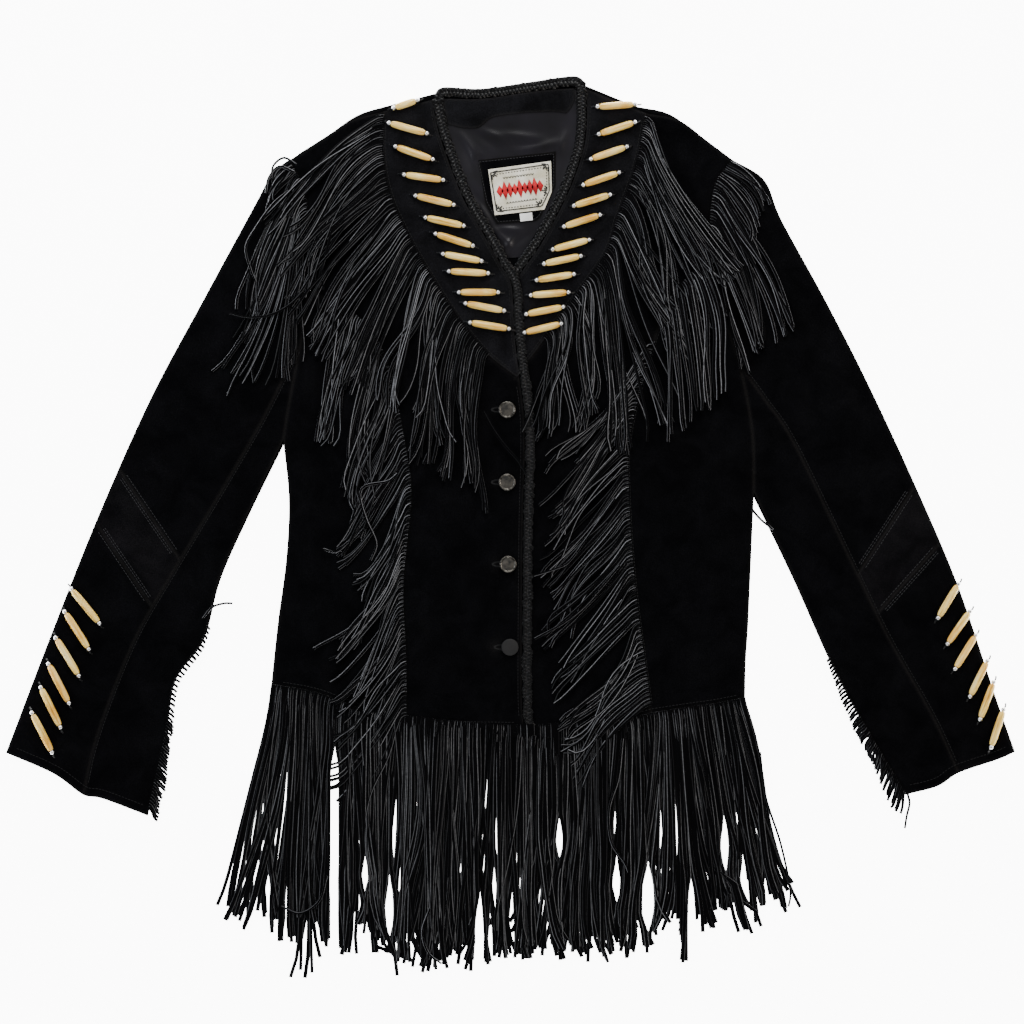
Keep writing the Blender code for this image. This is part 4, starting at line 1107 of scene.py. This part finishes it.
def strand_paths(line, side_sign, stretches, seed, above, layers, wild, parted):
    """The centre lines of a comb's strands: (strands, points, 3).

    A strand leaves the seam square to it, bends to its root's heading and turns to its tip's, plus a lean and
    a wave that it shares with its bunch, a little of its own and a hook at the tip; wild is how much of these
    it has at its root and at its tip. The line is the running sum of its steps, which are shorter near the
    root, and it lies above the ground by its bunch's layer.
    """
    rng = np.random.default_rng(seed)
    rows = []
    for start, end, count, *values in stretches:
        share = np.linspace(0, 1, count)
        values = [a + (b - a) * share for a, b in zip(values[::2], values[1::2])]
        rows.append(np.stack([start + (end - start) * share, *values]))
    share, length, root, tip = np.hstack(rows)
    count = len(share)
    bunch = bunches(rng, count)
    ahead = at(line, np.clip(share + 0.001, 0, 1)) - at(line, np.clip(share - 0.001, 0, 1))
    ahead /= np.hypot(*ahead.T)[:, None]
    square = side_sign * np.stack([-ahead[:, 1], ahead[:, 0]], axis=1)
    straight_out = np.degrees(np.arctan2(square[:, 0], -square[:, 1]))[:, None]
    t = (np.linspace(0, 1, STRAND_RINGS) ** 1.35)[None]

    def of_bunch(spread):
        return rng.normal(0, spread, count)[bunch][:, None]

    phase = rng.uniform(0, 2 * math.pi, count)[bunch][:, None]
    pace = rng.uniform(3.5, 7.0, count)[bunch][:, None]
    lean = np.clip(of_bunch(BUNCH_LEAN), -MOST_LEAN, MOST_LEAN) + rng.normal(0, OWN_LEAN, (count, 1))
    wave = of_bunch(BUNCH_WAVE) * np.sin(pace * t + phase)
    wave = wave + rng.normal(0, OWN_WAVE, (count, 1)) * np.sin(9 * t + 2 * phase)
    strays = rng.random((count, 1)) < STRAY_SHARE
    stray = np.where(strays, rng.uniform(-STRAY_LEAN, STRAY_LEAN, (count, 1)), 0)
    hook = wild[1] * (of_bunch(BUNCH_HOOK) + rng.normal(0, OWN_HOOK, (count, 1)))
    hook = hook * np.clip(t - HOOK_FROM, 0, 1) / (1 - HOOK_FROM)
    heading = root[:, None] + (tip - root)[:, None] * t
    amount = wild[0] + (wild[1] - wild[0]) * t**2
    heading = heading + amount * (lean * ease(t / 0.3) + wave + stray * ease(t / 0.5)) + hook
    heading = np.radians(straight_out + (heading - straight_out) * ease(t / 0.07))
    length = length * (1 + of_bunch(BUNCH_LENGTH)[:, 0] + rng.normal(0, OWN_LENGTH, count))
    start = at(line, share) - ROOT_TUCK * square
    step = np.diff(t) * length[:, None]
    middle = 0.5 * (heading[:, 1:] + heading[:, :-1])
    moves = np.stack([np.sin(middle), -np.cos(middle)], axis=2) * step[..., None]
    plan = start[:, None] + np.concatenate([np.zeros((count, 1, 2)), np.cumsum(moves, axis=1)], axis=1)
    if parted:
        plan = part(plan)
    layer = (0.75 * rng.random(count)[bunch] + 0.25 * rng.random(count))[:, None] * layers * ease(t / 0.2)
    layer = layer * (0.85 + 0.15 * np.sin(5 * t + phase))
    z = ground(plan.reshape(-1, 2)).reshape(count, STRAND_RINGS) + above(t, plan) + layer
    return np.concatenate([plan, z[..., None]], axis=2), bunch, rng


# The cut strand: nap face above and below, and its two cut edges a little bevelled. Columns across, rise
STRAND_SIDES = np.array([(-0.5, -0.5), (0.5, -0.5), (0.5, 0.0), (0.38, 0.5), (-0.38, 0.5), (-0.5, 0.0)])
CUT_SIDES = [0, 0, 1, 0, 1, 0]


def ribbons(paths, turn, wide):
    """Strands along these paths, each turned about its own line and a little narrower at its tip."""
    count, rings = paths.shape[:2]
    t = np.linspace(0, 1, rings)[None]
    width = STRAND_WIDTH * wide * (1 - STRAND_TAPER * t)
    size = np.stack([width, np.full((count, rings), STRAND_WALL)], axis=-1)
    points = carried(paths, STRAND_SIDES * size[:, :, None], turn)
    return points, carried_quads(count, rings, len(CUT_SIDES)), strand_uv(count, rings, CUT_SIDES)


def fringe(name, line, side_sign, stretches, seed, above, layers, wild, width=1.0, twist=1.0, free=False):
    """One comb: its cut strands, turned a little about their own line so that the cut edges show.

    A free comb hangs past the cloth's edge: its strands are darker and part at the hem's gaps.
    """
    paths, bunch, rng = strand_paths(line, side_sign, stretches, seed, above, layers, wild, free)
    count, rings = paths.shape[:2]
    t = np.linspace(0, 1, rings)[None]
    turn = rng.normal(0, 0.3, count)[bunch][:, None] + rng.normal(0, 0.25, (count, 1))
    turn = turn + rng.normal(0, 0.4, (count, 1)) * np.sin(4 * t + rng.uniform(0, 6, (count, 1)))
    turn = twist * np.clip(turn, -1.2, 1.2) * ease(t / 0.08)
    wide = width * rng.uniform(0.88, 1.1, (count, 1))
    paths[..., 2] += 0.5 * STRAND_WALL + 0.5 * STRAND_WIDTH * wide * np.abs(np.sin(turn)) + 0.1
    points, quads, uv = ribbons(paths, turn, wide)
    material = HEM_STRANDS if free else STRANDS
    obj = mesh_piece(f"strands_{name}", points, quads, material, "fringe_suede", uv, flat_over=28)
    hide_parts(f"fringe_{name}")
    return obj


def stray_strands():
    """The loose strands that lie by themselves, each on a smooth curve through its own knots."""
    paths = np.array([samples(knots, 23) for knots in STRAY_STRANDS])
    z = ground(paths.reshape(-1, 2)).reshape(paths.shape[:2]) + STRAY_LIFT
    t = np.linspace(0, 1, 24)[None]
    turn = 0.5 * np.sin(4 * t + np.arange(len(paths))[:, None])
    paths = np.concatenate([paths, z[..., None]], axis=2)
    points, quads, uv = ribbons(paths, turn, np.full((len(paths), 1), 0.8))
    mesh_piece("strands_stray", points, quads, STRANDS, "fringe_suede", uv, flat_over=28)


def over_front(t, plan):
    """Just clear of the cloth."""
    return 0.25 + 0 * plan[..., 0]


def on_floor(t, plan):
    """Down from under the back's edge."""
    return 0 * plan[..., 0]


def over_fringe(t, plan):
    """From the cloth at the root up over the fringe that hangs below."""
    return 0.5 + 1.6 * ease(t * 3) + 0 * plan[..., 0]


def over_all(t, plan):
    """Over the yoke's fringe from the root on."""
    return 0.5 + 4.2 * ease(t * 8) + 0 * plan[..., 0]


# How each comb hangs: what it lies over, the height of its layers, how wild its strands are at root and tip,
# their width and twist, and whether they hang free past the cloth
YOKE_HANG = (over_fringe, 3.0, (1.3, 1.8))
PRINCESS_HANG = (over_front, 3.0, (1.4, 2.0))
PRINCESS_TOP_HANG = (over_all, 2.6, (1.0, 1.0))
ARMHOLE_HANG = (over_front, 2.6, (1.0, 1.4))
SLEEVE_HANG = (over_front, 1.0, (2.0, 2.0), 1.0, 0.3, True)
HEM_HANG = (over_front, 3.6, (0.48, 1.35), 1.42, 0.6, True)
BACK_HANG = (on_floor, 1.5, (0.45, 1.3), 1.42, 0.6, True)


def all_fringe():
    """Every comb by its name, hung from its own seam."""
    combs = []
    for side, seed in ((right, 11), (left, 23)):
        name, out, hem = side.name, side.out, HEM_FRINGE[side.name]
        inner = samples(side.table["sleeve_in"], SLEEVE_ROWS)
        combs += [
            (f"yoke_{name}", side.yoke, out, YOKE_FRINGE[name], seed, *YOKE_HANG),
            (f"princess_{name}", side.princess, -1, PRINCESS_FRINGE[name], seed + 1, *PRINCESS_HANG),
            (f"armhole_{name}", side.armhole, out, ARMHOLE_FRINGE[name], seed + 2, *ARMHOLE_HANG),
            (f"sleeve_{name}", inner, -out, SLEEVE_FRINGE[name], seed + 3, *SLEEVE_HANG),
            (f"hem_{name}_side", side.hem_side, out, hem["side"], seed + 4, *HEM_HANG),
            (f"hem_{name}_centre", side.hem_centre, out, hem["centre"], seed + 5, *HEM_HANG),
        ]
    combs.append(("princess_left_top", left.princess, 1, PRINCESS_TOP_FRINGE, 41, *PRINCESS_TOP_HANG))
    combs.append(("hem_back", samples(BACK_HEM, 60), -1, BACK_FRINGE, 43, *BACK_HANG))
    return {comb[0]: fringe(*comb) for comb in combs}


def lace_profile(width, wall, sides=8):
    """A rounded flat lace: across = half the width times cos^0.6, rise = half the wall times sin^0.8."""
    angle = (np.arange(sides) + 0.5) / sides * 2 * math.pi
    c, s = np.cos(angle), np.sin(angle)
    across = 0.5 * width * np.sign(c) * np.abs(c) ** 0.6
    rise = 0.5 * wall * np.sign(s) * np.abs(s) ** 0.8
    return np.stack([across, rise], -1)


def braid(name, line, base):
    """Three laces over a laced edge.

    Lace k swings across by swing * sin(w s + k / 3 of a turn) and rises by lift * sin(2 (w s + k / 3 of a
    turn)), with a little uneven pull, swing and step, as in braiding by hand.
    """
    run = np.hypot(*np.diff(line, axis=0).T).sum()
    count = max(8, int(run / BRAID_PERIOD * 12))
    shares = np.linspace(0, 1, count)
    centre = at(line, shares)
    ahead = np.gradient(centre, axis=0)
    ahead /= np.hypot(*ahead.T)[:, None]
    square = np.stack([-ahead[:, 1], ahead[:, 0]], axis=1)
    level = base(centre)
    paths = []
    rng = np.random.default_rng(len(line))
    places = np.linspace(0, 1, count // 5)

    def uneven():
        return np.interp(shares, places, np.clip(rng.normal(0, 1, len(places)), -1.6, 1.6))

    for k in range(3):
        pull = uneven()
        swing = uneven()
        angle = 2 * math.pi * (shares * run / BRAID_PERIOD + k / 3 + UNEVEN_STEP * uneven())
        across = (BRAID_SWING + UNEVEN_SWING * swing) * np.sin(angle) + UNEVEN_PULL * pull
        rise = level + BRAID_RISE + BRAID_LIFT * np.sin(2 * angle)
        paths.append(np.column_stack([centre + across[:, None] * square, rise]))
    points = carried(np.array(paths), lace_profile(LACE_WIDTH, LACE_WALL))
    obj = mesh_piece(f"braid_{name}", points, carried_quads(3, count, 8), LACE, "lacing_leather")
    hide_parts(f"lacing_{name}")
    across = np.linspace(-1, 1, 7) * (BRAID_HALF - 0.4)
    grid = np.stack([centre + shift * square for shift in across], axis=1)
    rise = EDGE_RISE - EDGE_ROUND * (np.abs(across) > 4)
    edge = np.column_stack([grid.reshape(-1, 2), (level[:, None] + rise).ravel()])
    core = mesh_piece(f"laced_edge_{name}", edge, grid_quads(count, 7), SUEDE, "lacing_leather")
    core.data.attributes.new("wear", "FLOAT", "POINT")
    if core.data.polygons[0].normal.z < 0:
        core.data.flip_normals()
    wall = core.modifiers.new("Wall", "SOLIDIFY")
    wall.thickness = EDGE_WALL * MM
    wall.offset = -1


def lacing_base(side):
    """The cloth's own height, raised over the satin in the neck opening."""

    def base(place):
        z = heights(place, side)
        clear = np.maximum(z, BRAID_LOW)
        return z + (clear - z) * ease((place[:, 1] - 276) / 16)

    return base


def turned(centres, axes, profile, sides, uv=False):
    """Round pieces turned about their own axes: point = centre + along * axis + radius * (cos, sin).

    centres and axes are (pieces, 3), and profile is (rings, 2) in along and radius.
    """
    axes = axes / np.linalg.norm(axes, axis=1, keepdims=True)
    helper = np.where(np.abs(axes[:, 2:]) > 0.9, [[1.0, 0.0, 0.0]], [[0.0, 0.0, 1.0]])
    first = np.cross(axes, helper)
    first /= np.linalg.norm(first, axis=1, keepdims=True)
    second = np.cross(axes, first)
    angle = np.arange(sides) / sides * 2 * math.pi
    around = np.cos(angle)[None, :, None] * first[:, None] + np.sin(angle)[None, :, None] * second[:, None]
    middle = centres[:, None] + profile[None, :, :1] * axes[:, None]
    points = middle[:, :, None] + profile[None, :, None, 1:] * around[:, None]
    rings = len(profile)
    quads = grid_quads(rings, sides, wrap=True)[:, ::-1]
    quads = (quads[None] + (np.arange(len(centres)) * rings * sides)[:, None, None]).reshape(-1, 4)
    if not uv:
        return points, quads
    r, s = np.meshgrid(np.arange(rings - 1), np.arange(sides), indexing="ij")
    r, s = r.ravel() / rings, s.ravel() / sides
    corners = [(s, r + 1 / rings), (s + 1 / sides, r + 1 / rings), (s + 1 / sides, r), (s, r)]
    one = np.stack([np.stack(corner, -1) for corner in corners], axis=1)
    shift = np.zeros((len(centres), 1, 1, 2))
    shift[:, 0, 0, 1] = np.arange(len(centres)) * 3.7
    return points, quads, (one[None] + shift).reshape(-1, 2)


def beads(name, rows, side, wall):
    """A row of bone hairpipes, each with a silver ball at both ends, laced down onto the cloth."""
    rows = np.array(rows, float)
    inner, outer = rows[:, :2], rows[:, 2:]
    run = outer - inner
    length = np.hypot(*run.T)
    run = run / length[:, None]
    ends = [inner - run * BALL_LONG, 0.5 * (inner + outer), outer + run * BALL_LONG]
    low, middle, high = (heights(place, side) + wall for place in ends)
    lift = middle - (low + high) / 2 + BEAD_RADIUS - BEAD_SINK
    a, b = np.column_stack([ends[0], low + lift]), np.column_stack([ends[2], high + lift])
    axes = (b - a) / np.linalg.norm(b - a, axis=1, keepdims=True)
    s = np.linspace(0, 1, 15)
    barrel = np.column_stack([s, BEAD_END + (BEAD_THICK - BEAD_END) * (1 - np.abs(2 * s - 1) ** 4.0)])
    drilled = np.array([(0.06, 0.8), (0.0, 1.1), (0.0, BEAD_END - 0.35)])
    barrel = np.vstack([drilled, barrel[1:-1], (drilled * (-1, 1) + (1, 0))[::-1]])
    bead_long = BEAD_SHARE * float(length.mean())
    profile = np.column_stack([(barrel[:, 0] - 0.5) * bead_long, barrel[:, 1]])
    points, quads, uv = turned(0.5 * (a + b), axes, profile, 20, uv=True)
    mesh_piece(f"hairpipes_{name}", points, quads, BONE, "suede", uv, "turned", flat_over=60)
    angle = np.linspace(0.12, math.pi - 0.12, 8)
    ball = np.column_stack([-BALL_RADIUS * np.cos(angle), BALL_RADIUS * np.sin(angle)])
    offsets = 0.5 * bead_long + BALL_STEP
    middles = np.vstack([0.5 * (a + b) - axes * offsets, 0.5 * (a + b) + axes * offsets])
    points, quads = turned(middles, np.vstack([axes, axes]), ball, 14)
    mesh_piece(f"silver_balls_{name}", points, quads, SILVER, "button_pewter")
    t = np.linspace(0, 1, 9)[None, :, None]
    out = np.vstack([-axes, axes])
    side_step = np.cross(out, [0, 0, 1.0])
    tail = middles[:, None] + out[:, None] * (TAIL_START + TAIL_RUN * t)
    tail = tail + side_step[:, None] * (TAIL_WAVE * np.sin(3 * t))
    floor = (heights(tail[..., :2].reshape(-1, 2), side) + wall).reshape(len(tail), -1)
    down = t[..., 0] ** 2
    tail[..., 2] = np.maximum(floor + 0.1, tail[..., 2] * (1 - down) + (floor - 0.5) * down)
    points = carried(tail, lace_profile(1.8, 1.0, 6))
    mesh_piece(f"bead_laces_{name}", points, carried_quads(len(tail), 9, 6), LACE, "lacing_leather")


def button(index, x, y):
    """A shank button: a rounded rim round a sunk face, or one plain domed cap."""
    foot = float(heights(np.array([[x, y]], float), right)[0]) + WALL + 0.3
    angle = np.linspace(-0.5 * math.pi, 0.75 * math.pi, 12)
    rim = np.column_stack([2.9 + 1.0 * np.sin(angle), 7.9 + 1.0 * np.cos(angle)])
    under = [(1.9, 4.0), (0.1, 3.6), (0.1, 0.6)]
    if index < 4:
        profile = np.vstack([under[::-1], rim, [(3.25, 6.6), (3.0, 6.4)]])
    else:
        dome = [(3.95, 6.8), (4.1, 5.0), (4.2, 2.5), (4.22, 0.05)]
        profile = np.vstack([under[::-1], rim[:9], dome])
    centre, axis = np.array([[x, y, foot]], float), np.array([[0.0, 0.0, 1.0]])
    points, quads = turned(centre, axis, profile, 48)
    metal, slot = (PEWTER, "button_pewter") if index < 4 else (BUTTON_PLASTIC, "button_plastic")
    rim = mesh_piece(f"rim_{index}", points, quads, metal, slot)
    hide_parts(f"button_{index}")
    if index < 4:
        face = np.array([(2.6, 6.9), (3.0, 6.7), (3.25, 5.2), (3.35, 3.0), (3.4, 0.05)])
        points, quads = turned(centre, axis, face, 48)
        mesh_piece(f"face_{index}", points, quads, PEWTER_FACE, slot)


def stitches(name, starts, ends, thread=THREAD, width=0.7, slot="suede"):
    """Short threads lying on the cloth: each a low arch from its start to its end, points in x, y, z."""
    t = np.linspace(0, 1, 4)[None, :, None]
    paths = starts[:, None] * (1 - t) + ends[:, None] * t
    paths[..., 2] += 0.35 * np.sin(math.pi * t[..., 0]) - 0.1
    points = carried(paths, lace_profile(width, 0.6, 4))
    mesh_piece(name, points, carried_quads(len(paths), 4, 4), thread, slot)


def seam_stitches(name, lines, side, wall=WALL, pitch=3.6, long=2.3, thread=THREAD):
    """Topstitching along lines in x, y, on the cloth."""
    starts, ends = [], []
    for line in lines:
        run = np.hypot(*np.diff(line, axis=0).T).sum()
        count = int(run / pitch)
        shares = (np.arange(count) + 0.2) / count
        starts.append(at(line, shares))
        ends.append(at(line, shares + long / run))
    starts, ends = np.vstack(starts), np.vstack(ends)
    lift = [heights(points, side, fine=True) + wall for points in (starts, ends)]
    stitches(name, np.column_stack([starts, lift[0]]), np.column_stack([ends, lift[1]]), thread)


def topstitching():
    """Rows of stitches beside the bands, the sleeve seams, the cuffs, the fronts and the yokes."""
    for side in (right, left):
        table, out = side.table, side.out
        outer, seam = smooth(table["sleeve_out"]), smooth(table["sleeve_seam"])
        lines = []
        for k in (0, 1):
            a, b = at(outer, [table["band_outer"][k]])[0], at(seam, [table["band_seam"][k]])[0]
            band = np.linspace(a, b, 12)
            lines += [offset(band, shift)[1:-1] for shift in (3.0, -3.0, 5.2 if k else -5.2)]
        seam_stitches(f"stitches_band_{side.name}", lines, side)
        seam_line = samples(table["sleeve_seam"], 80)
        cuff = samples(table["cuff"], 40)
        lines = [offset(seam_line, 2.8)[1:-2], offset(cuff, 9.0 * -out)[2:-2]]
        seam_stitches(f"stitches_sleeve_{side.name}", lines, side, thread=SEAM_THREAD)
        lines = [offset(side.princess, 2.6 * out)[12:-2], offset(side.edge[YOKE_ROWS:], 4.0 * out)[2:-2]]
        hem = join(side.hem_side, side.hem_centre)
        lines.append(offset(hem, 5.0 * -out)[3:-3])
        seam_stitches(f"stitches_front_{side.name}", lines, side, thread=SEAM_THREAD)
        lines = [offset(side.yoke, 3.2 * -out)[2:-4], offset(side.edge[:YOKE_ROWS], 3.2 * out)[2:-4]]
        seam_stitches(f"stitches_yoke_{side.name}", lines, side, YOKE_WALL, thread=SEAM_THREAD)


def buttonholes():
    """Slits worked round with thread, from each button toward the wearer's right."""
    starts, ends = [], []
    for index, (x, y) in enumerate(BUTTONS):
        angle = np.linspace(0.15, 2 * math.pi - 0.15, 46)
        slit = np.stack([x - 6 + 9 * np.cos(angle), y + 1.6 * np.sin(angle)], -1)
        rim = np.stack([x - 6 + 11 * np.cos(angle), y + 3.4 * np.sin(angle)], -1)
        z = heights(rim, right, fine=True) + WALL
        starts.append(np.column_stack([slit, z - 0.2]))
        ends.append(np.column_stack([rim, z]))
    stitches("stitches_buttonholes", np.vstack(starts), np.vstack(ends), SEAM_THREAD, 0.8)


def label_strokes(name, strokes, width):
    """Straight stitches on the label: rows of start x, start y, end x, end y."""
    strokes = np.array(strokes, float)
    level = np.full((len(strokes), 1), LABEL_LOW + 0.6)
    starts, ends = np.hstack([strokes[:, :2], level]), np.hstack([strokes[:, 2:], level])
    stitches(name, starts, ends, INK_THREAD, width, "label_cloth")


def label_design():
    """A woven border with a fan in each corner, and a red band of lozenges between two rows of darts."""
    corners = np.array(BORDER_CORNERS + BORDER_CORNERS[:1])
    frame_line = at(corners, np.linspace(0, 1, 75))
    label_strokes("label_border", np.hstack([frame_line[:-1], frame_line[1:]]), width=1.4)
    inner = offset(corners[:-1], -2.4)
    inner = at(np.vstack([inner, inner[:1]]), np.linspace(0, 1, 120))
    label_strokes("label_border_inner", np.hstack([inner[:-1:2], inner[1::2]]), width=0.9)
    middle = np.array([10.5, 355.0])
    fans = []
    for corner in corners[:-1]:
        toward = np.degrees(math.atan2(*(middle - corner)[::-1]))
        for turn, long in ((-44, 7.5), (-22, 6.0), (0, 8.0), (22, 6.0), (44, 7.5)):
            angle = math.radians(toward + turn)
            way = np.array([math.cos(angle), math.sin(angle)])
            fans.append([*(corner + 3.2 * way), *(corner + long * way)])
    label_strokes("label_fans", fans, width=1.5)
    along = np.array([61.0, 8.3]) / math.hypot(61.0, 8.3)
    across = np.array([-along[1], along[0]])
    quads = []
    points = []
    for step in range(-4, 5):
        centre = middle + 5.3 * step * along
        wide, tall = 3.7 * along, (10.0, 6.4, 8.4)[abs(step) % 3] * across
        points += [centre - wide, centre - tall, centre + wide, centre + tall]
        quads.append([4 * len(quads) + i for i in range(4)])
    points = np.column_stack([np.array(points), np.full(len(points), LABEL_LOW + 0.85)])
    red = mesh_piece("label_lozenges", points, quads, RED_THREAD, "label_cloth")
    wall = red.modifiers.new("Wall", "SOLIDIFY")
    wall.thickness = 0.3 * MM
    wall.offset = -1
    darts = []
    for shift, way in ((-14.0, 1), (14.0, -1)):
        for step in np.arange(-15, 16, 3.0):
            place = middle + shift * across + step * along
            darts.append([*(place - 1.1 * along), *(place + 1.6 * way * across)])
            darts.append([*(place + 1.6 * way * across), *(place + 1.1 * along)])
    label_strokes("label_darts", darts, width=0.7)


def patch_stitches():
    """One row of stitches inside the patch's border."""
    patch = offset(np.vstack([PATCH_CORNERS, PATCH_CORNERS[:1]]).astype(float), -2.2)[:-1]
    patch = np.vstack([patch, patch[:1]])
    run = np.hypot(*np.diff(patch, axis=0).T).sum()
    shares = (np.arange(80) + 0.2) / 80
    starts, ends = at(patch, shares), at(patch, shares + 2.0 / run)
    flat = np.full(len(starts), PATCH_TOP + 0.1)
    stitches("stitches_patch", np.column_stack([starts, flat]), np.column_stack([ends, flat]))


# The fringe that each piece of cloth carries
CARRIES = {
    "back": ["hem_back"],
    "front_right_centre": ["yoke_right", "princess_right", "hem_right_centre"],
    "front_left_centre": ["yoke_left", "princess_left", "hem_left_centre", "princess_left_top"],
    "front_right_side": ["hem_right_side"],
    "front_left_side": ["hem_left_side"],
    "sleeve_right_upper": ["armhole_right"],
    "sleeve_left_upper": ["armhole_left"],
    "sleeve_right_inner": ["sleeve_right"],
    "sleeve_left_inner": ["sleeve_left"],
}


def declare_sheets(fringes, tab):
    """Gathers, for each piece of cloth, the fringe it carries and, for the label, its size tab; nothing is
    made from them.
    """
    for name, (obj, rim) in sheets.items():
        if name == "back" or name.endswith("under"):
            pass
        elif name.startswith("sleeve"):
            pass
        else:
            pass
        extra = [fringes[key] for key in CARRIES.get(name, [])]
        if name == "label":
            extra.append(tab)


# The view, in metres
FRAME_WIDTH = 1.0752
FRAME_CENTRE = (0.0016, 0.01355)
LENS = 180.0
SENSOR = 36.0


def camera():
    """Straight above, from far enough that the flat jacket keeps its proportions."""
    data = bpy.data.cameras.new("camera")
    data.lens = LENS
    data.sensor_width = SENSOR
    obj = bpy.data.objects.new("camera", data)
    obj.location = (*FRAME_CENTRE, FRAME_WIDTH * LENS / SENSOR)
    bpy.context.scene.collection.objects.link(obj)
    bpy.context.scene.camera = obj


def softbox(name, place, size, power, tint):
    """A square soft light aimed at the jacket's middle."""
    data = bpy.data.lights.new(name, "AREA")
    data.size = size
    data.energy = power
    data.color = colour(tint)[:3]
    obj = bpy.data.objects.new(name, data)
    obj.location = place
    direction = -np.array(place) + (0, 0.02, 0)
    flat = math.hypot(direction[0], direction[1])
    obj.rotation_euler = (math.atan2(flat, -direction[2]), 0, math.atan2(-direction[0], direction[1]))
    bpy.context.scene.collection.objects.link(obj)


def studio():
    """A white light table under soft light from above and both sides."""
    mesh = bpy.data.meshes.new("floor")
    corners = [(-4, -4, 0), (4, -4, 0), (4, 4, 0), (-4, 4, 0)]
    mesh.from_pydata(corners, [], [(0, 1, 2, 3)])
    glow = {"Emission_Color": colour("#ffffff"), "Emission_Strength": 10.0}
    material, _, _ = finish("light_table", Base_Color=colour("#f6f6f5"), Roughness=0.9, **glow)
    mesh.materials.append(material)
    floor = bpy.data.objects.new("floor", mesh)
    floor.location.z = -0.0004
    bpy.context.scene.collection.objects.link(floor)
    world = bpy.data.worlds.new("studio")
    world.use_nodes = True
    world.node_tree.nodes["Background"].inputs["Color"].default_value = colour("#ffffff")
    world.node_tree.nodes["Background"].inputs["Strength"].default_value = 0.25
    bpy.context.scene.world = world
    softbox("from_neck", (0.0, 2.4, 1.7), 1.6, 80, "#ffffff")
    softbox("from_left", (-2.4, 0.3, 1.5), 1.3, 44, "#f1f5ff")
    softbox("from_right", (2.4, 0.3, 1.5), 1.3, 40, "#fff6ee")
    softbox("from_hem", (0.0, -2.5, 1.7), 1.6, 26, "#ffffff")


camera()
back_panel()
size_tab = neck_pieces()
for side in (right, left):
    body_panels(side)
    sleeve_panels(side)
    braid(side.name, side.lacing, lacing_base(side))
    beads(f"yoke_{side.name}", YOKE_BEADS[side.name], side, YOKE_WALL)
    beads(f"sleeve_{side.name}", SLEEVE_BEADS[side.name], side, WALL)
beads("turned", TURNED_BEAD, right, YOKE_WALL)
braid("neck", samples(NECK_TURN, 60), lambda place: 2.2 + 2.4 * ease((np.abs(place[:, 0]) - 58) / 14))
for index, (x, y) in enumerate(BUTTONS, start=1):
    button(index, x, y)
topstitching()
buttonholes()
label_design()
patch_stitches()
stray_strands()
declare_sheets(all_fringe(), size_tab)
studio()
